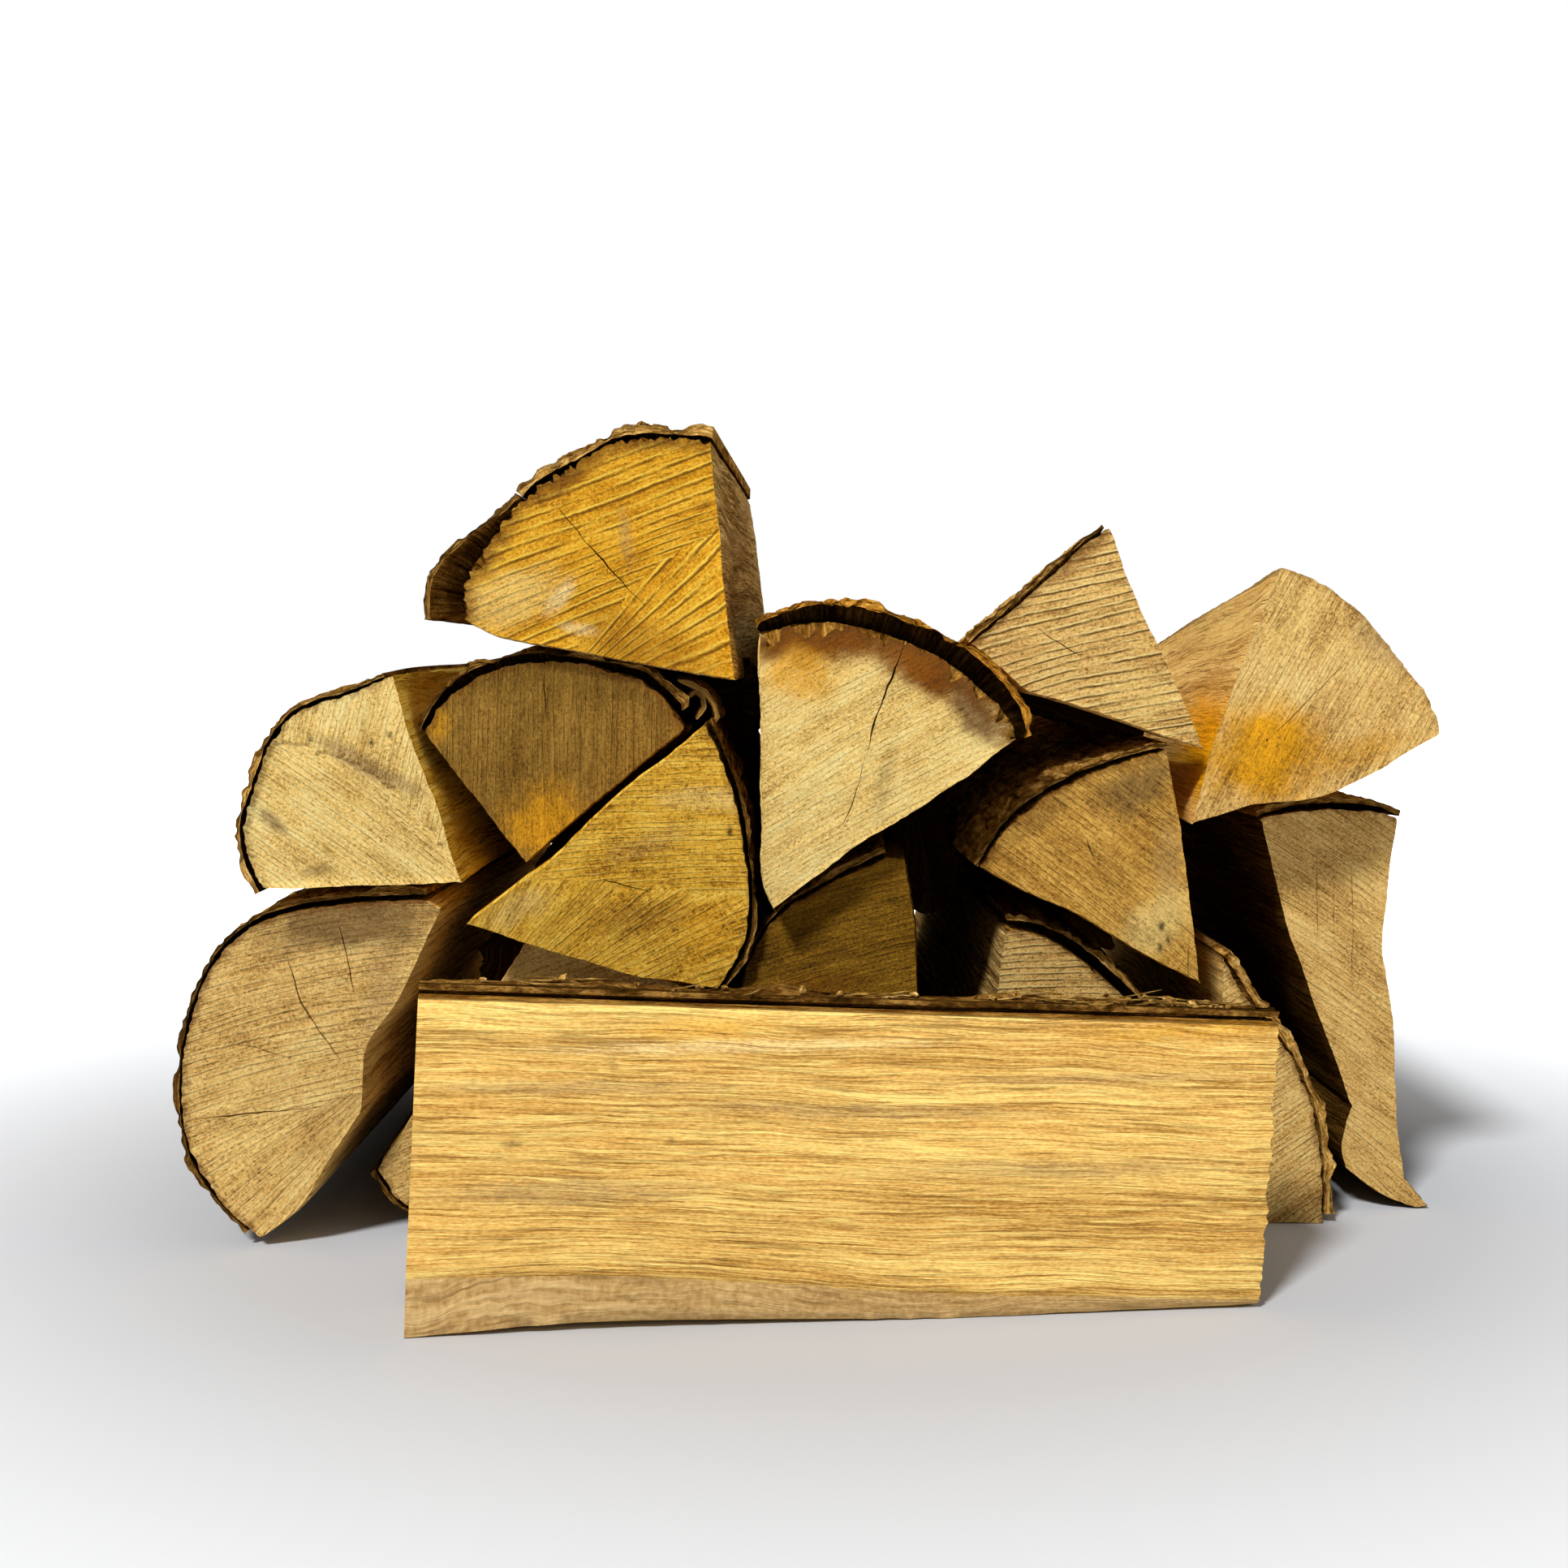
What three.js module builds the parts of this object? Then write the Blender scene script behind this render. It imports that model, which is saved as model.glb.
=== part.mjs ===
// A heap of split hornbeam firewood: fifteen billets about 33 cm long and the bark strips on them.
// Fourteen billets lie along Y with their sawn ends to the front, and one lies across the front.
// Millimetres, +Z up, +Y into the heap. The origin ends up under the middle of the heap, on the ground.
import * as THREE from 'three';

// Steps of a faceted loft, along a piece and round its rind
const LENGTH_STEPS = 5;
const RIND_STEPS = 12;

// A split face wider than this has shallow hollows along it, up to this deep, at these shares of its width
const WIDE_FACE = 30;
const HOLLOW_DEPTH = 1.4;
const HOLLOW_PLACES = [0.35, 0.7];
const HOLLOW_WAVE = { perPoint: 2.3, perLength: 5.1 };
// A face no higher than this lies on the ground and has none
const LYING = 3;

// Bark that lies tight on its wood still has this much air under it, and its outside is this uneven
const TIGHT = 0.6;
const BARK_RIPPLE = 0.22;
const RIPPLE_WAVE = { perPoint: 7.7, perLength: 9 };

// The heap sways a little towards its back, where the billets settled: this far to the side and in height,
// in waves this long. The sway begins and ends at these depths, and its height fades out at the footing.
const SWAY = { side: 4, height: 2.5, start: 175, full: 400, footing: 60 };
const SIDE_WAVE = { height: 110, width: 170 };
const HEIGHT_WAVE = { width: 80, phase: 0.6 };

const WOOD_COLOURS = {
  golden: '#c9963f',
  pale: '#cda763',
  shaded: '#9c7431',
};
const BARK_COLOUR = '#5a3d20';

// Sections are points [x, z] taken clockwise as seen from the front.
// rind: the round outer stretch, a smooth curve through its points.
// split: the corners of the split faces, from the end of the rind back to its start.
// near: how far back the sawn front end is. saw: the slope of both sawn ends, across and upwards.
// rear: how the section has shifted and scaled by the far end, about mid-width and its lowest point.
// bark: strips on the rind, each from and to a share of its run, with gap and thickness along it.
const BILLETS = {
  top_billet: {
    colour: 'golden', near: 124, length: 332, saw: [0.02, -0.01],
    rind: [[-134, 268], [-134, 285], [-123, 303], [-107, 322], [-88, 334], [-65, 345], [-42, 345], [-30, 344]],
    split: [[-20, 243], [-118, 261]],
    rear: { shift: [6, 0], scale: [1.08, 0.98] },
    bark: {
      top_bark_slab: { span: [0.02, 0.405], gap: [14, 13, 9, 6, 2, TIGHT], thick: [3.5, 4, 4, 3.5, 3.5, 3.5] },
      top_bark: { span: [0.411, 1], gap: [TIGHT, TIGHT], thick: [3.5, 6, 7, 5, 6, 8, 6, 3, 6] },
    },
  },
  upper_left_billet: {
    colour: 'pale', near: 122, length: 331, saw: [-0.02, 0.01],
    rind: [[-220, 155], [-226, 168], [-228, 182], [-223, 199], [-216, 218], [-203, 231], [-185, 237], [-164, 246]],
    split: [[-157, 221], [-146, 192], [-135, 158]],
    rear: { shift: [1, 0], scale: [0.97, 1.08] },
    bark: { upper_left_bark: { span: [0, 0.97], gap: [2, 1.5, 1, 1.5, TIGHT], thick: [3, 3.2, 3.5, 2.8, 2.2] } },
  },
  middle_billet: {
    colour: 'shaded', near: 132, length: 328, saw: [0, 0.03],
    rind: [[-154, 222], [-141, 238], [-122, 248], [-99, 252], [-79, 249], [-60, 243], [-47, 231], [-42, 222]],
    split: [[-77, 194], [-110, 165], [-131, 192]],
    rear: { shift: [0, -1.2], scale: [0.98, 0.99] },
    bark: { middle_bark: { span: [0, 0.94], gap: [TIGHT, 2.5, 2.5, 0.8, 2, 2.5], thick: [2, 3, 3, 2.4, 3.5, 3.5] } },
  },
  heart_billet: {
    colour: 'golden', near: 118, length: 333, saw: [0.01, -0.02],
    rind: [[-33, 226], [-22, 199], [-17, 175], [-15, 153], [-17, 133], [-28, 113]],
    split: [[-65, 119], [-110, 133], [-135, 141], [-98, 169], [-78, 189]],
    rear: { shift: [1, 2.6], scale: [1.01, 1.01] },
    bark: { heart_bark: { span: [0, 1], gap: [1.5, 1.2, TIGHT, 1, TIGHT], thick: [2, 2.4, 2.2, 1.6, 1.6] } },
  },
  lower_left_billet: {
    colour: 'pale', near: 128, length: 334, saw: [-0.03, 0],
    rind: [[-225, 3], [-243, 21], [-256, 45], [-258, 75], [-252, 105], [-236, 132], [-213, 144], [-180, 149],
      [-152, 151]],
    split: [[-145, 146], [-163, 109], [-178, 84], [-180, 59], [-207, 18]],
    rear: { shift: [8, 0], scale: [1, 0.99] },
    bark: { lower_left_bark: { span: [0.03, 1], gap: [1, 1, 1, 1.3, 2.2, 1.5], thick: [2.5, 2.6, 2.2, 3, 3.8, 3.2] } },
  },
  foot_left_billet: {
    colour: 'shaded', near: 150, length: 325, saw: [0, 0.02],
    rind: [[-34, 74], [-40, 40], [-58, 14], [-88, 2], [-117, 1], [-145, 5], [-168, 14], [-179, 29]],
    split: [[-112, 131], [-45, 111]],
    rear: { shift: [-2, 0], scale: [1.08, 1] },
    bark: { foot_left_bark: { span: [0.72, 1], gap: [TIGHT, 1], thick: [2, 3, 3] } },
  },
  centre_billet: {
    colour: 'pale', near: 112, length: 330, saw: [0.015, 0.015],
    rind: [[-11, 264], [11, 268], [28, 267], [45, 262], [66, 253], [84, 239], [95, 227], [98, 219]],
    split: [[60, 192], [29, 173], [-5, 147], [-9, 160]],
    rear: { shift: [2, -3], scale: [1.02, 1] },
    bark: { centre_bark: { span: [0, 1], gap: [1.5, 4, 4.5, 4.5, 5.5, 4.5, 2], thick: [3.5, 5.5, 6, 6, 6, 5.5, 4] } },
  },
  foot_centre_billet: {
    colour: 'shaded', near: 130, length: 327, saw: [0.02, -0.02],
    rind: [[2, 0], [-12, 40], [-19, 80], [-17, 117], [-4, 142], [20, 157], [44, 169]],
    split: [[52, 168], [56, 140], [58, 105], [40, 0]],
    rear: { shift: [6, 0], scale: [1.15, 0.95] },
    bark: { foot_centre_bark: { span: [0.64, 1], gap: [TIGHT, 1, 1.5, 1.5], thick: [1.2, 2.4, 3.4, 3] } },
  },
  upper_right_billet: {
    colour: 'pale', near: 140, length: 333, saw: [-0.02, 0],
    rind: [[80, 259], [104, 279], [116, 290], [128, 301], [139, 309]],
    split: [[146, 290], [162, 256], [181, 213], [137, 228], [104, 238]],
    rear: { shift: [10, 4], scale: [0.85, 0.74] },
    bark: { upper_right_bark: { span: [0, 0.97], gap: [TIGHT, 1.2, 0.8], thick: [3.2, 3.8, 3.6, 2] } },
  },
  right_billet: {
    colour: 'golden', near: 150, length: 330, saw: [0.03, 0.02],
    rind: [[214, 292], [231, 286], [250, 272], [267, 252], [281, 234], [285, 219]],
    split: [[259, 204], [234, 192], [205, 189], [176, 180], [186, 218], [198, 252]],
    rear: { shift: [8, 0], scale: [0.97, 0.72] },
    bark: {},
  },
  lower_right_billet: {
    colour: 'golden', near: 138, length: 329, saw: [0, 0.02],
    rind: [[84, 163], [93, 177], [107, 190], [126, 201], [144, 208], [165, 214]],
    split: [[171, 181], [175, 151], [180, 112], [154, 126], [127, 142], [100, 154]],
    rear: { shift: [-9, 0], scale: [1.08, 1.04] },
    bark: { lower_right_bark: { span: [0, 1], gap: [TIGHT, 1.5, 2, 1.5, 1], thick: [1.5, 2.8, 3.4, 2.6, 2] } },
  },
  foot_right_billet: {
    colour: 'pale', near: 155, length: 330, saw: [0, 0],
    rind: [[97, 134], [115, 130], [135, 117], [150, 103], [165, 86], [175, 60], [178, 25], [177, 0]],
    split: [[82, 0], [80, 50], [92, 100]],
    rear: { shift: [-10, 0], scale: [1.16, 1.05] },
    bark: { foot_right_bark: { span: [0, 0.97], gap: [4, 4.5, 4, 2, TIGHT, TIGHT], thick: [3.5, 4, 4, 3.5, 3, 3] } },
  },
  small_right_billet: {
    colour: 'pale', near: 166, length: 326, saw: [-0.02, 0.01],
    rind: [[195, 120], [209, 98], [226, 75], [236, 52], [240, 28], [241, 0]],
    split: [[194, 0], [194, 60]],
    rear: { shift: [-4, 0], scale: [1.15, 1] },
    bark: { small_right_bark: { span: [0, 0.97], gap: [1, 1, TIGHT, 1, 1], thick: [4.5, 5.5, 5.5, 6, 5.5] } },
  },
  outer_right_billet: {
    colour: 'pale', near: 189, length: 322, saw: [0.02, 0],
    rind: [[215, 180], [229, 183], [244, 184], [258, 184], [270, 183], [279, 180]],
    split: [[275, 145], [274, 120], [279, 85], [282, 38], [286, 15], [297, 1], [290, 0], [274, 6], [257, 19],
      [255, 30], [259, 48], [245, 85], [228, 131]],
    rear: { shift: [-6, 0], scale: [0.98, 0.97] },
    bark: { outer_right_bark: { span: [0, 1], gap: [1, 2.2, 2.5, 2, 1], thick: [3, 4.5, 5, 5, 3] } },
  },
};

// The billet across the front: its flat split face looks to the front, and its round back to the heap.
// Its section is [depth, height]. Each pair of sizes is for its right and its left end.
const FRONT = {
  left: [-137, 0],
  length: 331,
  yaw: 7.6,
  lean: 0.054,
  height: [112, 130],
  depth: [60, 72],
  undercut: [3, 25],
  arch: 3,
  archStart: 0.5,
};
// Its round back, in shares of its depth and height, and how far the lowest edge is set back
const FRONT_BACK = [[0.02, 1], [0.3, 0.99], [0.67, 0.86], [0.92, 0.65], [0.98, 0.4], [0.84, 0.16], [0.6, 0]];
const FRONT_TOE = { least: 2, perUndercut: 0.3 };
const FRONT_BARK = { span: [0.02, 0.86], gap: [2, 1, TIGHT, TIGHT], thick: [3, 5, 3.5, 4, 3] };

// A value along a short list, read at a share from 0 to 1
function along(list, share) {
  const place = share * (list.length - 1);
  const first = Math.min(Math.floor(place), list.length - 2);
  return THREE.MathUtils.lerp(list[first], list[first + 1], place - first);
}

function toVector(point) {
  return new THREE.Vector2(point[0], point[1]);
}

function leftOf(direction) {
  return new THREE.Vector2(-direction.y, direction.x).normalize();
}

// The split faces from the end of the rind to its start, with middle points on the wide ones.
// A middle point can sink inwards; a face that lies on the ground stays flat.
function splitPoints(corners, rindEnd, rindStart) {
  const stops = [rindEnd, ...corners.map(toVector), rindStart];
  const points = [];
  for (let i = 0; i + 1 < stops.length; i += 1) {
    const run = stops[i + 1].clone().sub(stops[i]);
    const inward = leftOf(run).negate();
    const lying = Math.max(stops[i].y, stops[i + 1].y) <= LYING;
    if (i > 0) {
      points.push({ at: stops[i], inward, hollow: 0 });
    }
    if (run.length() > WIDE_FACE && !lying) {
      for (const share of HOLLOW_PLACES) {
        points.push({ at: stops[i].clone().addScaledVector(run, share), inward, hollow: HOLLOW_DEPTH });
      }
    }
  }
  return points;
}

// The closed outline of a billet: the rind, then the split faces
function outlineOf(billet) {
  const curve = new THREE.SplineCurve(billet.rind.map(toVector));
  const rind = curve.getSpacedPoints(RIND_STEPS);
  const still = new THREE.Vector2(0, 0);
  const outline = rind.map((at) => ({ at, inward: still, hollow: 0 }));
  return outline.concat(splitPoints(billet.split, rind[RIND_STEPS], rind[0]));
}

// How far a hollow has sunk at a share of the length: nothing at the sawn front end, then in waves
function sinkAt(index, share) {
  const wave = Math.sin(HOLLOW_WAVE.perPoint * index + HOLLOW_WAVE.perLength * share);
  return Math.min(1, LENGTH_STEPS * share) * (0.5 + 0.5 * wave);
}

function billetSection(outline, share) {
  return outline.map((point, index) => point.at.clone()
    .addScaledVector(point.inward, point.hollow * sinkAt(index, share)));
}

// A bark strip's section: out along the outside of the strip and back along its inside
function barkSection(rind, strip, share, seed) {
  const curve = new THREE.SplineCurve(rind.map(toVector));
  const outside = [];
  const inside = [];
  for (let i = 0; i <= RIND_STEPS; i += 1) {
    const way = i / RIND_STEPS;
    const place = THREE.MathUtils.lerp(strip.span[0], strip.span[1], way);
    const at = curve.getPointAt(place);
    const outward = leftOf(curve.getTangentAt(place));
    const gap = along(strip.gap, way);
    const turn = RIPPLE_WAVE.perPoint * i + seed;
    const ripple = 0.5 + 0.5 * Math.sin(turn) * Math.cos(RIPPLE_WAVE.perLength * share + turn);
    const thick = along(strip.thick, way) * (1 - BARK_RIPPLE * ripple);
    outside.push(at.clone().addScaledVector(outward, gap + thick));
    inside.push(at.clone().addScaledVector(outward, gap));
  }
  return outside.concat(inside.reverse());
}

// The triangles between equal rings of points, facing out where the rings run clockwise
function wallTriangles(rings) {
  const count = rings[0].length;
  const triangles = [];
  for (let ring = 0; ring + 1 < rings.length; ring += 1) {
    for (let i = 0; i < count; i += 1) {
      const a = ring * count + i;
      const b = ring * count + (i + 1) % count;
      triangles.push(a, b, a + count, b, b + count, a + count);
    }
  }
  return triangles;
}

// The triangles of a flat end, whose first point has the number start
function endTriangles(section, start, far) {
  const triangles = [];
  for (const [a, b, c] of THREE.ShapeUtils.triangulateShape(section, [])) {
    const area = section[b].clone().sub(section[a]).cross(section[c].clone().sub(section[a]));
    const turned = (area > 0) === far;
    triangles.push(start + a, start + (turned ? c : b), start + (turned ? b : c));
  }
  return triangles;
}

// A closed solid through the sections, each put in place by its share of the length
function loft(sections, place) {
  const steps = sections.length - 1;
  const rings = sections.map((section, step) => section.map((point) => place(point, step / steps)));
  const geometry = new THREE.BufferGeometry();
  geometry.setFromPoints(rings.flat());
  geometry.setIndex([
    ...wallTriangles(rings),
    ...endTriangles(sections[0], 0, false),
    ...endTriangles(sections[steps], steps * rings[0].length, true),
  ]);
  geometry.computeVertexNormals();
  return geometry;
}

// The common sway of the heap, which keeps the billets' places beside each other
function sway(point) {
  const back = THREE.MathUtils.smoothstep(point.y, SWAY.start, SWAY.full);
  const raised = THREE.MathUtils.smoothstep(point.z, 0, SWAY.footing);
  const side = Math.sin(point.z / SIDE_WAVE.height + point.x / SIDE_WAVE.width);
  const height = Math.sin(point.x / HEIGHT_WAVE.width + HEIGHT_WAVE.phase);
  point.x += SWAY.side * back * side;
  point.z += SWAY.height * back * raised * height;
  return point;
}

// Puts a section point of a billet that lies along Y at its place in the heap
function billetPlacer(billet, outline) {
  const box = new THREE.Box2().setFromPoints(outline.map((point) => point.at));
  const middle = box.getCenter(new THREE.Vector2());
  const { shift, scale } = billet.rear;
  return (point, share) => {
    const wide = THREE.MathUtils.lerp(1, scale[0], share);
    const high = THREE.MathUtils.lerp(1, scale[1], share);
    const x = middle.x + (point.x - middle.x) * wide + shift[0] * share;
    const z = box.min.y + (point.y - box.min.y) * high + shift[1] * share;
    const cut = billet.saw[0] * (point.x - middle.x) + billet.saw[1] * (point.y - middle.y);
    return sway(new THREE.Vector3(x, billet.near + billet.length * share + cut, Math.max(0, z)));
  };
}

function frontRind(share) {
  const high = along(FRONT.height, share);
  const deep = along(FRONT.depth, share);
  return FRONT_BACK.map(([depth, height]) => [depth * deep, height * high]);
}

// The front billet's outline: its base arches up a little towards its left end
function frontOutline(share) {
  const under = along(FRONT.undercut, share);
  const way = Math.max(0, share - FRONT.archStart) / (1 - FRONT.archStart);
  const lift = FRONT.arch * Math.sin(Math.PI * way);
  const toe = FRONT_TOE.least + FRONT_TOE.perUndercut * under;
  return outlineOf({ rind: frontRind(share), split: [[toe, lift], [0, under + lift]] });
}

// Puts a [depth, height] point at its place along the front billet, from its right end to its left
function placeFront(point, share) {
  const turn = THREE.MathUtils.degToRad(FRONT.yaw);
  const run = FRONT.length * (1 - share) + FRONT.lean * (point.y - FRONT.height[1] / 2);
  return new THREE.Vector3(
    FRONT.left[0] + run * Math.cos(turn) - point.x * Math.sin(turn),
    FRONT.left[1] + run * Math.sin(turn) + point.x * Math.cos(turn),
    Math.max(0, point.y),
  );
}

const heap = new THREE.Group();
const shares = Array.from({ length: LENGTH_STEPS + 1 }, (_, step) => step / LENGTH_STEPS);

function addPiece(name, finish, sectionAt, place) {
  const geometry = loft(shares.map(sectionAt), place);
  const mesh = new THREE.Mesh(geometry, new THREE.MeshStandardMaterial({ ...finish, metalness: 0 }));
  mesh.name = name;
  heap.add(mesh);
}

function woodFinish(colour) {
  return { color: WOOD_COLOURS[colour], roughness: 0.8 };
}

const barkFinish = { color: BARK_COLOUR, roughness: 0.95 };

let seed = 0;
for (const [name, billet] of Object.entries(BILLETS)) {
  const outline = outlineOf(billet);
  const place = billetPlacer(billet, outline);
  addPiece(name, woodFinish(billet.colour), (share) => billetSection(outline, share), place);
  for (const [barkName, strip] of Object.entries(billet.bark)) {
    seed += 1;
    const barkSeed = seed;
    addPiece(barkName, barkFinish, (share) => barkSection(billet.rind, strip, share, barkSeed), place);
  }
}

addPiece('front_billet', woodFinish('golden'), (share) => billetSection(frontOutline(share), share), placeFront);
addPiece('front_bark', barkFinish, (share) => barkSection(frontRind(share), FRONT_BARK, share, seed), placeFront);

// The origin goes under the middle of the heap
const bounds = new THREE.Box3().setFromObject(heap);
const centre = bounds.getCenter(new THREE.Vector3());
heap.position.set(-centre.x, -centre.y, -bounds.min.z);

export default heap;
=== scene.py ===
"""The looks of a heap of split hornbeam firewood: fifteen billets and their bark strips.

Every billet and strip is rebuilt over its own solid with torn fibres, saw marks, cracks and ridges.
Lengths are millimetres until a mesh is made, and names that end in _px hold pixels of the photograph.
"""
import math

import bpy
import numpy as np
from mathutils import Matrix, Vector
from mathutils.bvhtree import BVHTree
from mathutils.geometry import delaunay_2d_cdt


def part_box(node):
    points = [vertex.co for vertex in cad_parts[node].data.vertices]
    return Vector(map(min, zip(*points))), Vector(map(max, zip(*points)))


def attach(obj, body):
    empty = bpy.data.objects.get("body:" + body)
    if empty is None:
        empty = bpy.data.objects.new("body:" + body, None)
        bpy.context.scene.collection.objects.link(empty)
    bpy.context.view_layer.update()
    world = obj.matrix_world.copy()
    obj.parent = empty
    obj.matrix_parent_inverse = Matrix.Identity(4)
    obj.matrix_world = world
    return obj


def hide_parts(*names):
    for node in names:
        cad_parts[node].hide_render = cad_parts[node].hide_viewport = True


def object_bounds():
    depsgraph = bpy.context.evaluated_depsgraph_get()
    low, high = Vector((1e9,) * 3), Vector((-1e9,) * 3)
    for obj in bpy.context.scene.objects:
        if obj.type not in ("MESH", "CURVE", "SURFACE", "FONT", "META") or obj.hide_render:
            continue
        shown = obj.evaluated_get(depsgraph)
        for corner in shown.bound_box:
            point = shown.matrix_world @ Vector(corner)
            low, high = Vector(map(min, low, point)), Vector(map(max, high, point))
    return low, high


MM = 0.001
TINY = 1e-9

# The photograph's camera: the picture's size and focal length in pixels, and how it stands to the
# heap: to the side of its middle, back from its front, above the ground and tilted down
PHOTO_SIZE_PX = 1932
FOCAL_PX = 2558
SENSOR = 36.0
CAMERA_SIDE = -17.9
CAMERA_BACK = 749.7
CAMERA_HEIGHT = 256.7
CAMERA_TILT = math.radians(3.713)

# The solids: rings of points across each piece, the first RIND of them on its round side. Rings lie
# more than RING_STEP apart, and a ring turns by more than CORNER where two split faces meet.
RIND = 13
RING_STEP = 5.0
CAP_FACING = 0.9
CORNER = math.radians(28)
TO_VIEWER = (0, -1, 0)

# Fine steps along a piece near its front end, in its middle and near its far end, the distances from
# the ends over which they change, and the steps round it. The billet across the front has steps of its
# own: along it, and round each of its sides. SHARP is the turn above which an edge is drawn sharp.
NEAR_STEP = 2.2
MIDDLE_STEP = 8.5
FAR_STEP = 5.5
NEAR_REACH = (25.0, 50.0)
FAR_REACH = (20.0, 40.0)
FRONT_ALONG = (2.6, 2.6, 2.6)
FRONT_AROUND = (2.2, 2.0, 1.2, 0.9)
SPLIT_STEP = 1.7
RIND_STEP = 1.35
BARK_STEP = 1.4
BARK_LAYERS = 5
END_STEP = 1.2
BACK_END_STEP = 3.2
SHARP = math.radians(46)

# The finishes of a billet's faces, and of a bark strip's or a scrap's
END, SPLIT, BACK, FACET = range(4)
OUTSIDE, INSIDE, LAYERS = range(3)

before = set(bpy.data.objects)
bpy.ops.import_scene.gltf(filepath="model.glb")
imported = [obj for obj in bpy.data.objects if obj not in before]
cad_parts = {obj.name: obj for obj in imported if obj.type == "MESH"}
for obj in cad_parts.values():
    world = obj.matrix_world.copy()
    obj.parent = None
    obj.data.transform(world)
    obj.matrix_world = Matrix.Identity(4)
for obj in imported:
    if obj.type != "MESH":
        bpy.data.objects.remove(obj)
cad_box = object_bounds()
front_depth = cad_box[0][1] / MM
camera_place = np.array([CAMERA_SIDE, front_depth - CAMERA_BACK, CAMERA_HEIGHT])


# Smooth noise that is the same on each run

# The numbers that mix a cell and a seed
CELL_PRIMES = (73856093, 19349663, 83492791)
SEED_PRIME = 2654435761
MIX_PRIME = 1274126177
WORD = 0xFFFFFFFF
HALF_WORD = 0xFFFF
# Each octave of rough noise is weaker than the one before it, and together they come to ROUGH_TOTAL
OCTAVE_FADE = 1.7
ROUGH_TOTAL = 1.6


def hashed(cells, seed):
    """A fixed number from -1 to 1 for each whole-number cell."""
    side, over, up = (cells[..., axis] * prime for axis, prime in enumerate(CELL_PRIMES))
    mixed = (side ^ over ^ up ^ seed * SEED_PRIME) & WORD
    mixed = (mixed ^ (mixed >> 13)) * MIX_PRIME & WORD
    mixed = (mixed ^ (mixed >> 16)) & HALF_WORD
    return mixed / (HALF_WORD / 2) - 1


def noise(places, cell, seed):
    """Smooth noise from -1 to 1 at places (..., 3), whose lumps are about cell apart."""
    place = places / np.asarray(cell, float)
    floor = np.floor(place).astype(np.int64)
    part = place - floor
    part = part * part * (3 - 2 * part)
    total = 0.0
    for corner in np.ndindex(2, 2, 2):
        weight = np.prod(np.where(corner, part, 1 - part), axis=-1)
        total = total + weight * hashed(floor + np.array(corner), seed)
    return total


def rough(places, cell, seed, octaves=3):
    """Noise with finer noise on it, from about -1 to 1."""
    total = 0.0
    for octave in range(octaves):
        finer = noise(places, np.asarray(cell, float) / 2 ** octave, seed + octave)
        total = total + finer / OCTAVE_FADE ** octave
    return total / ROUGH_TOTAL


def rough_share(places, cell, seed, octaves=3):
    """Rough noise, from about 0 to 1."""
    return (1 + rough(places, cell, seed, octaves)) / 2


def relief(places, kind, seed):
    """Noise of a kind, from 0 to the depth of that kind."""
    return kind["depth"] * (1 + noise(places, kind["cell"], seed)) / 2


def smooth(value, start, end):
    """From 0 at start to 1 at end."""
    share = np.clip((value - start) / (end - start), 0, 1)
    return share * share * (3 - 2 * share)


# The photograph's view, for marks that are placed by what it shows

def to_photo(places):
    """The pixels of the photograph at which places (n, 3) show."""
    ray = places - camera_place
    forward = ray[:, 1] * math.cos(CAMERA_TILT) - ray[:, 2] * math.sin(CAMERA_TILT)
    up = ray[:, 1] * math.sin(CAMERA_TILT) + ray[:, 2] * math.cos(CAMERA_TILT)
    middle = PHOTO_SIZE_PX / 2
    return np.stack([middle + FOCAL_PX * ray[:, 0] / forward, middle - FOCAL_PX * up / forward], axis=1)


def from_photo(pixels, plane_point, plane_normal):
    """The places on a plane that show at pixels (n, 2) of the photograph."""
    pixels = np.asarray(pixels, float)
    side = (pixels[:, 0] - PHOTO_SIZE_PX / 2) / FOCAL_PX
    up = (PHOTO_SIZE_PX / 2 - pixels[:, 1]) / FOCAL_PX
    sine, cosine = math.sin(CAMERA_TILT), math.cos(CAMERA_TILT)
    ray = np.stack([side, cosine + up * sine, up * cosine - sine], axis=1)
    reach = (plane_point - camera_place) @ plane_normal / (ray @ plane_normal)
    return camera_place + ray * reach[:, None]


# Reading the solids

def ring_order(members, links):
    """Walks once round a ring of linked points."""
    order = [members[0]]
    before = None
    while True:
        onward = [p for p in links[order[-1]] if p != before]
        before = order[-1]
        if onward[0] == order[0] or len(order) == len(members):
            return order
        order.append(onward[0])


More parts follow.
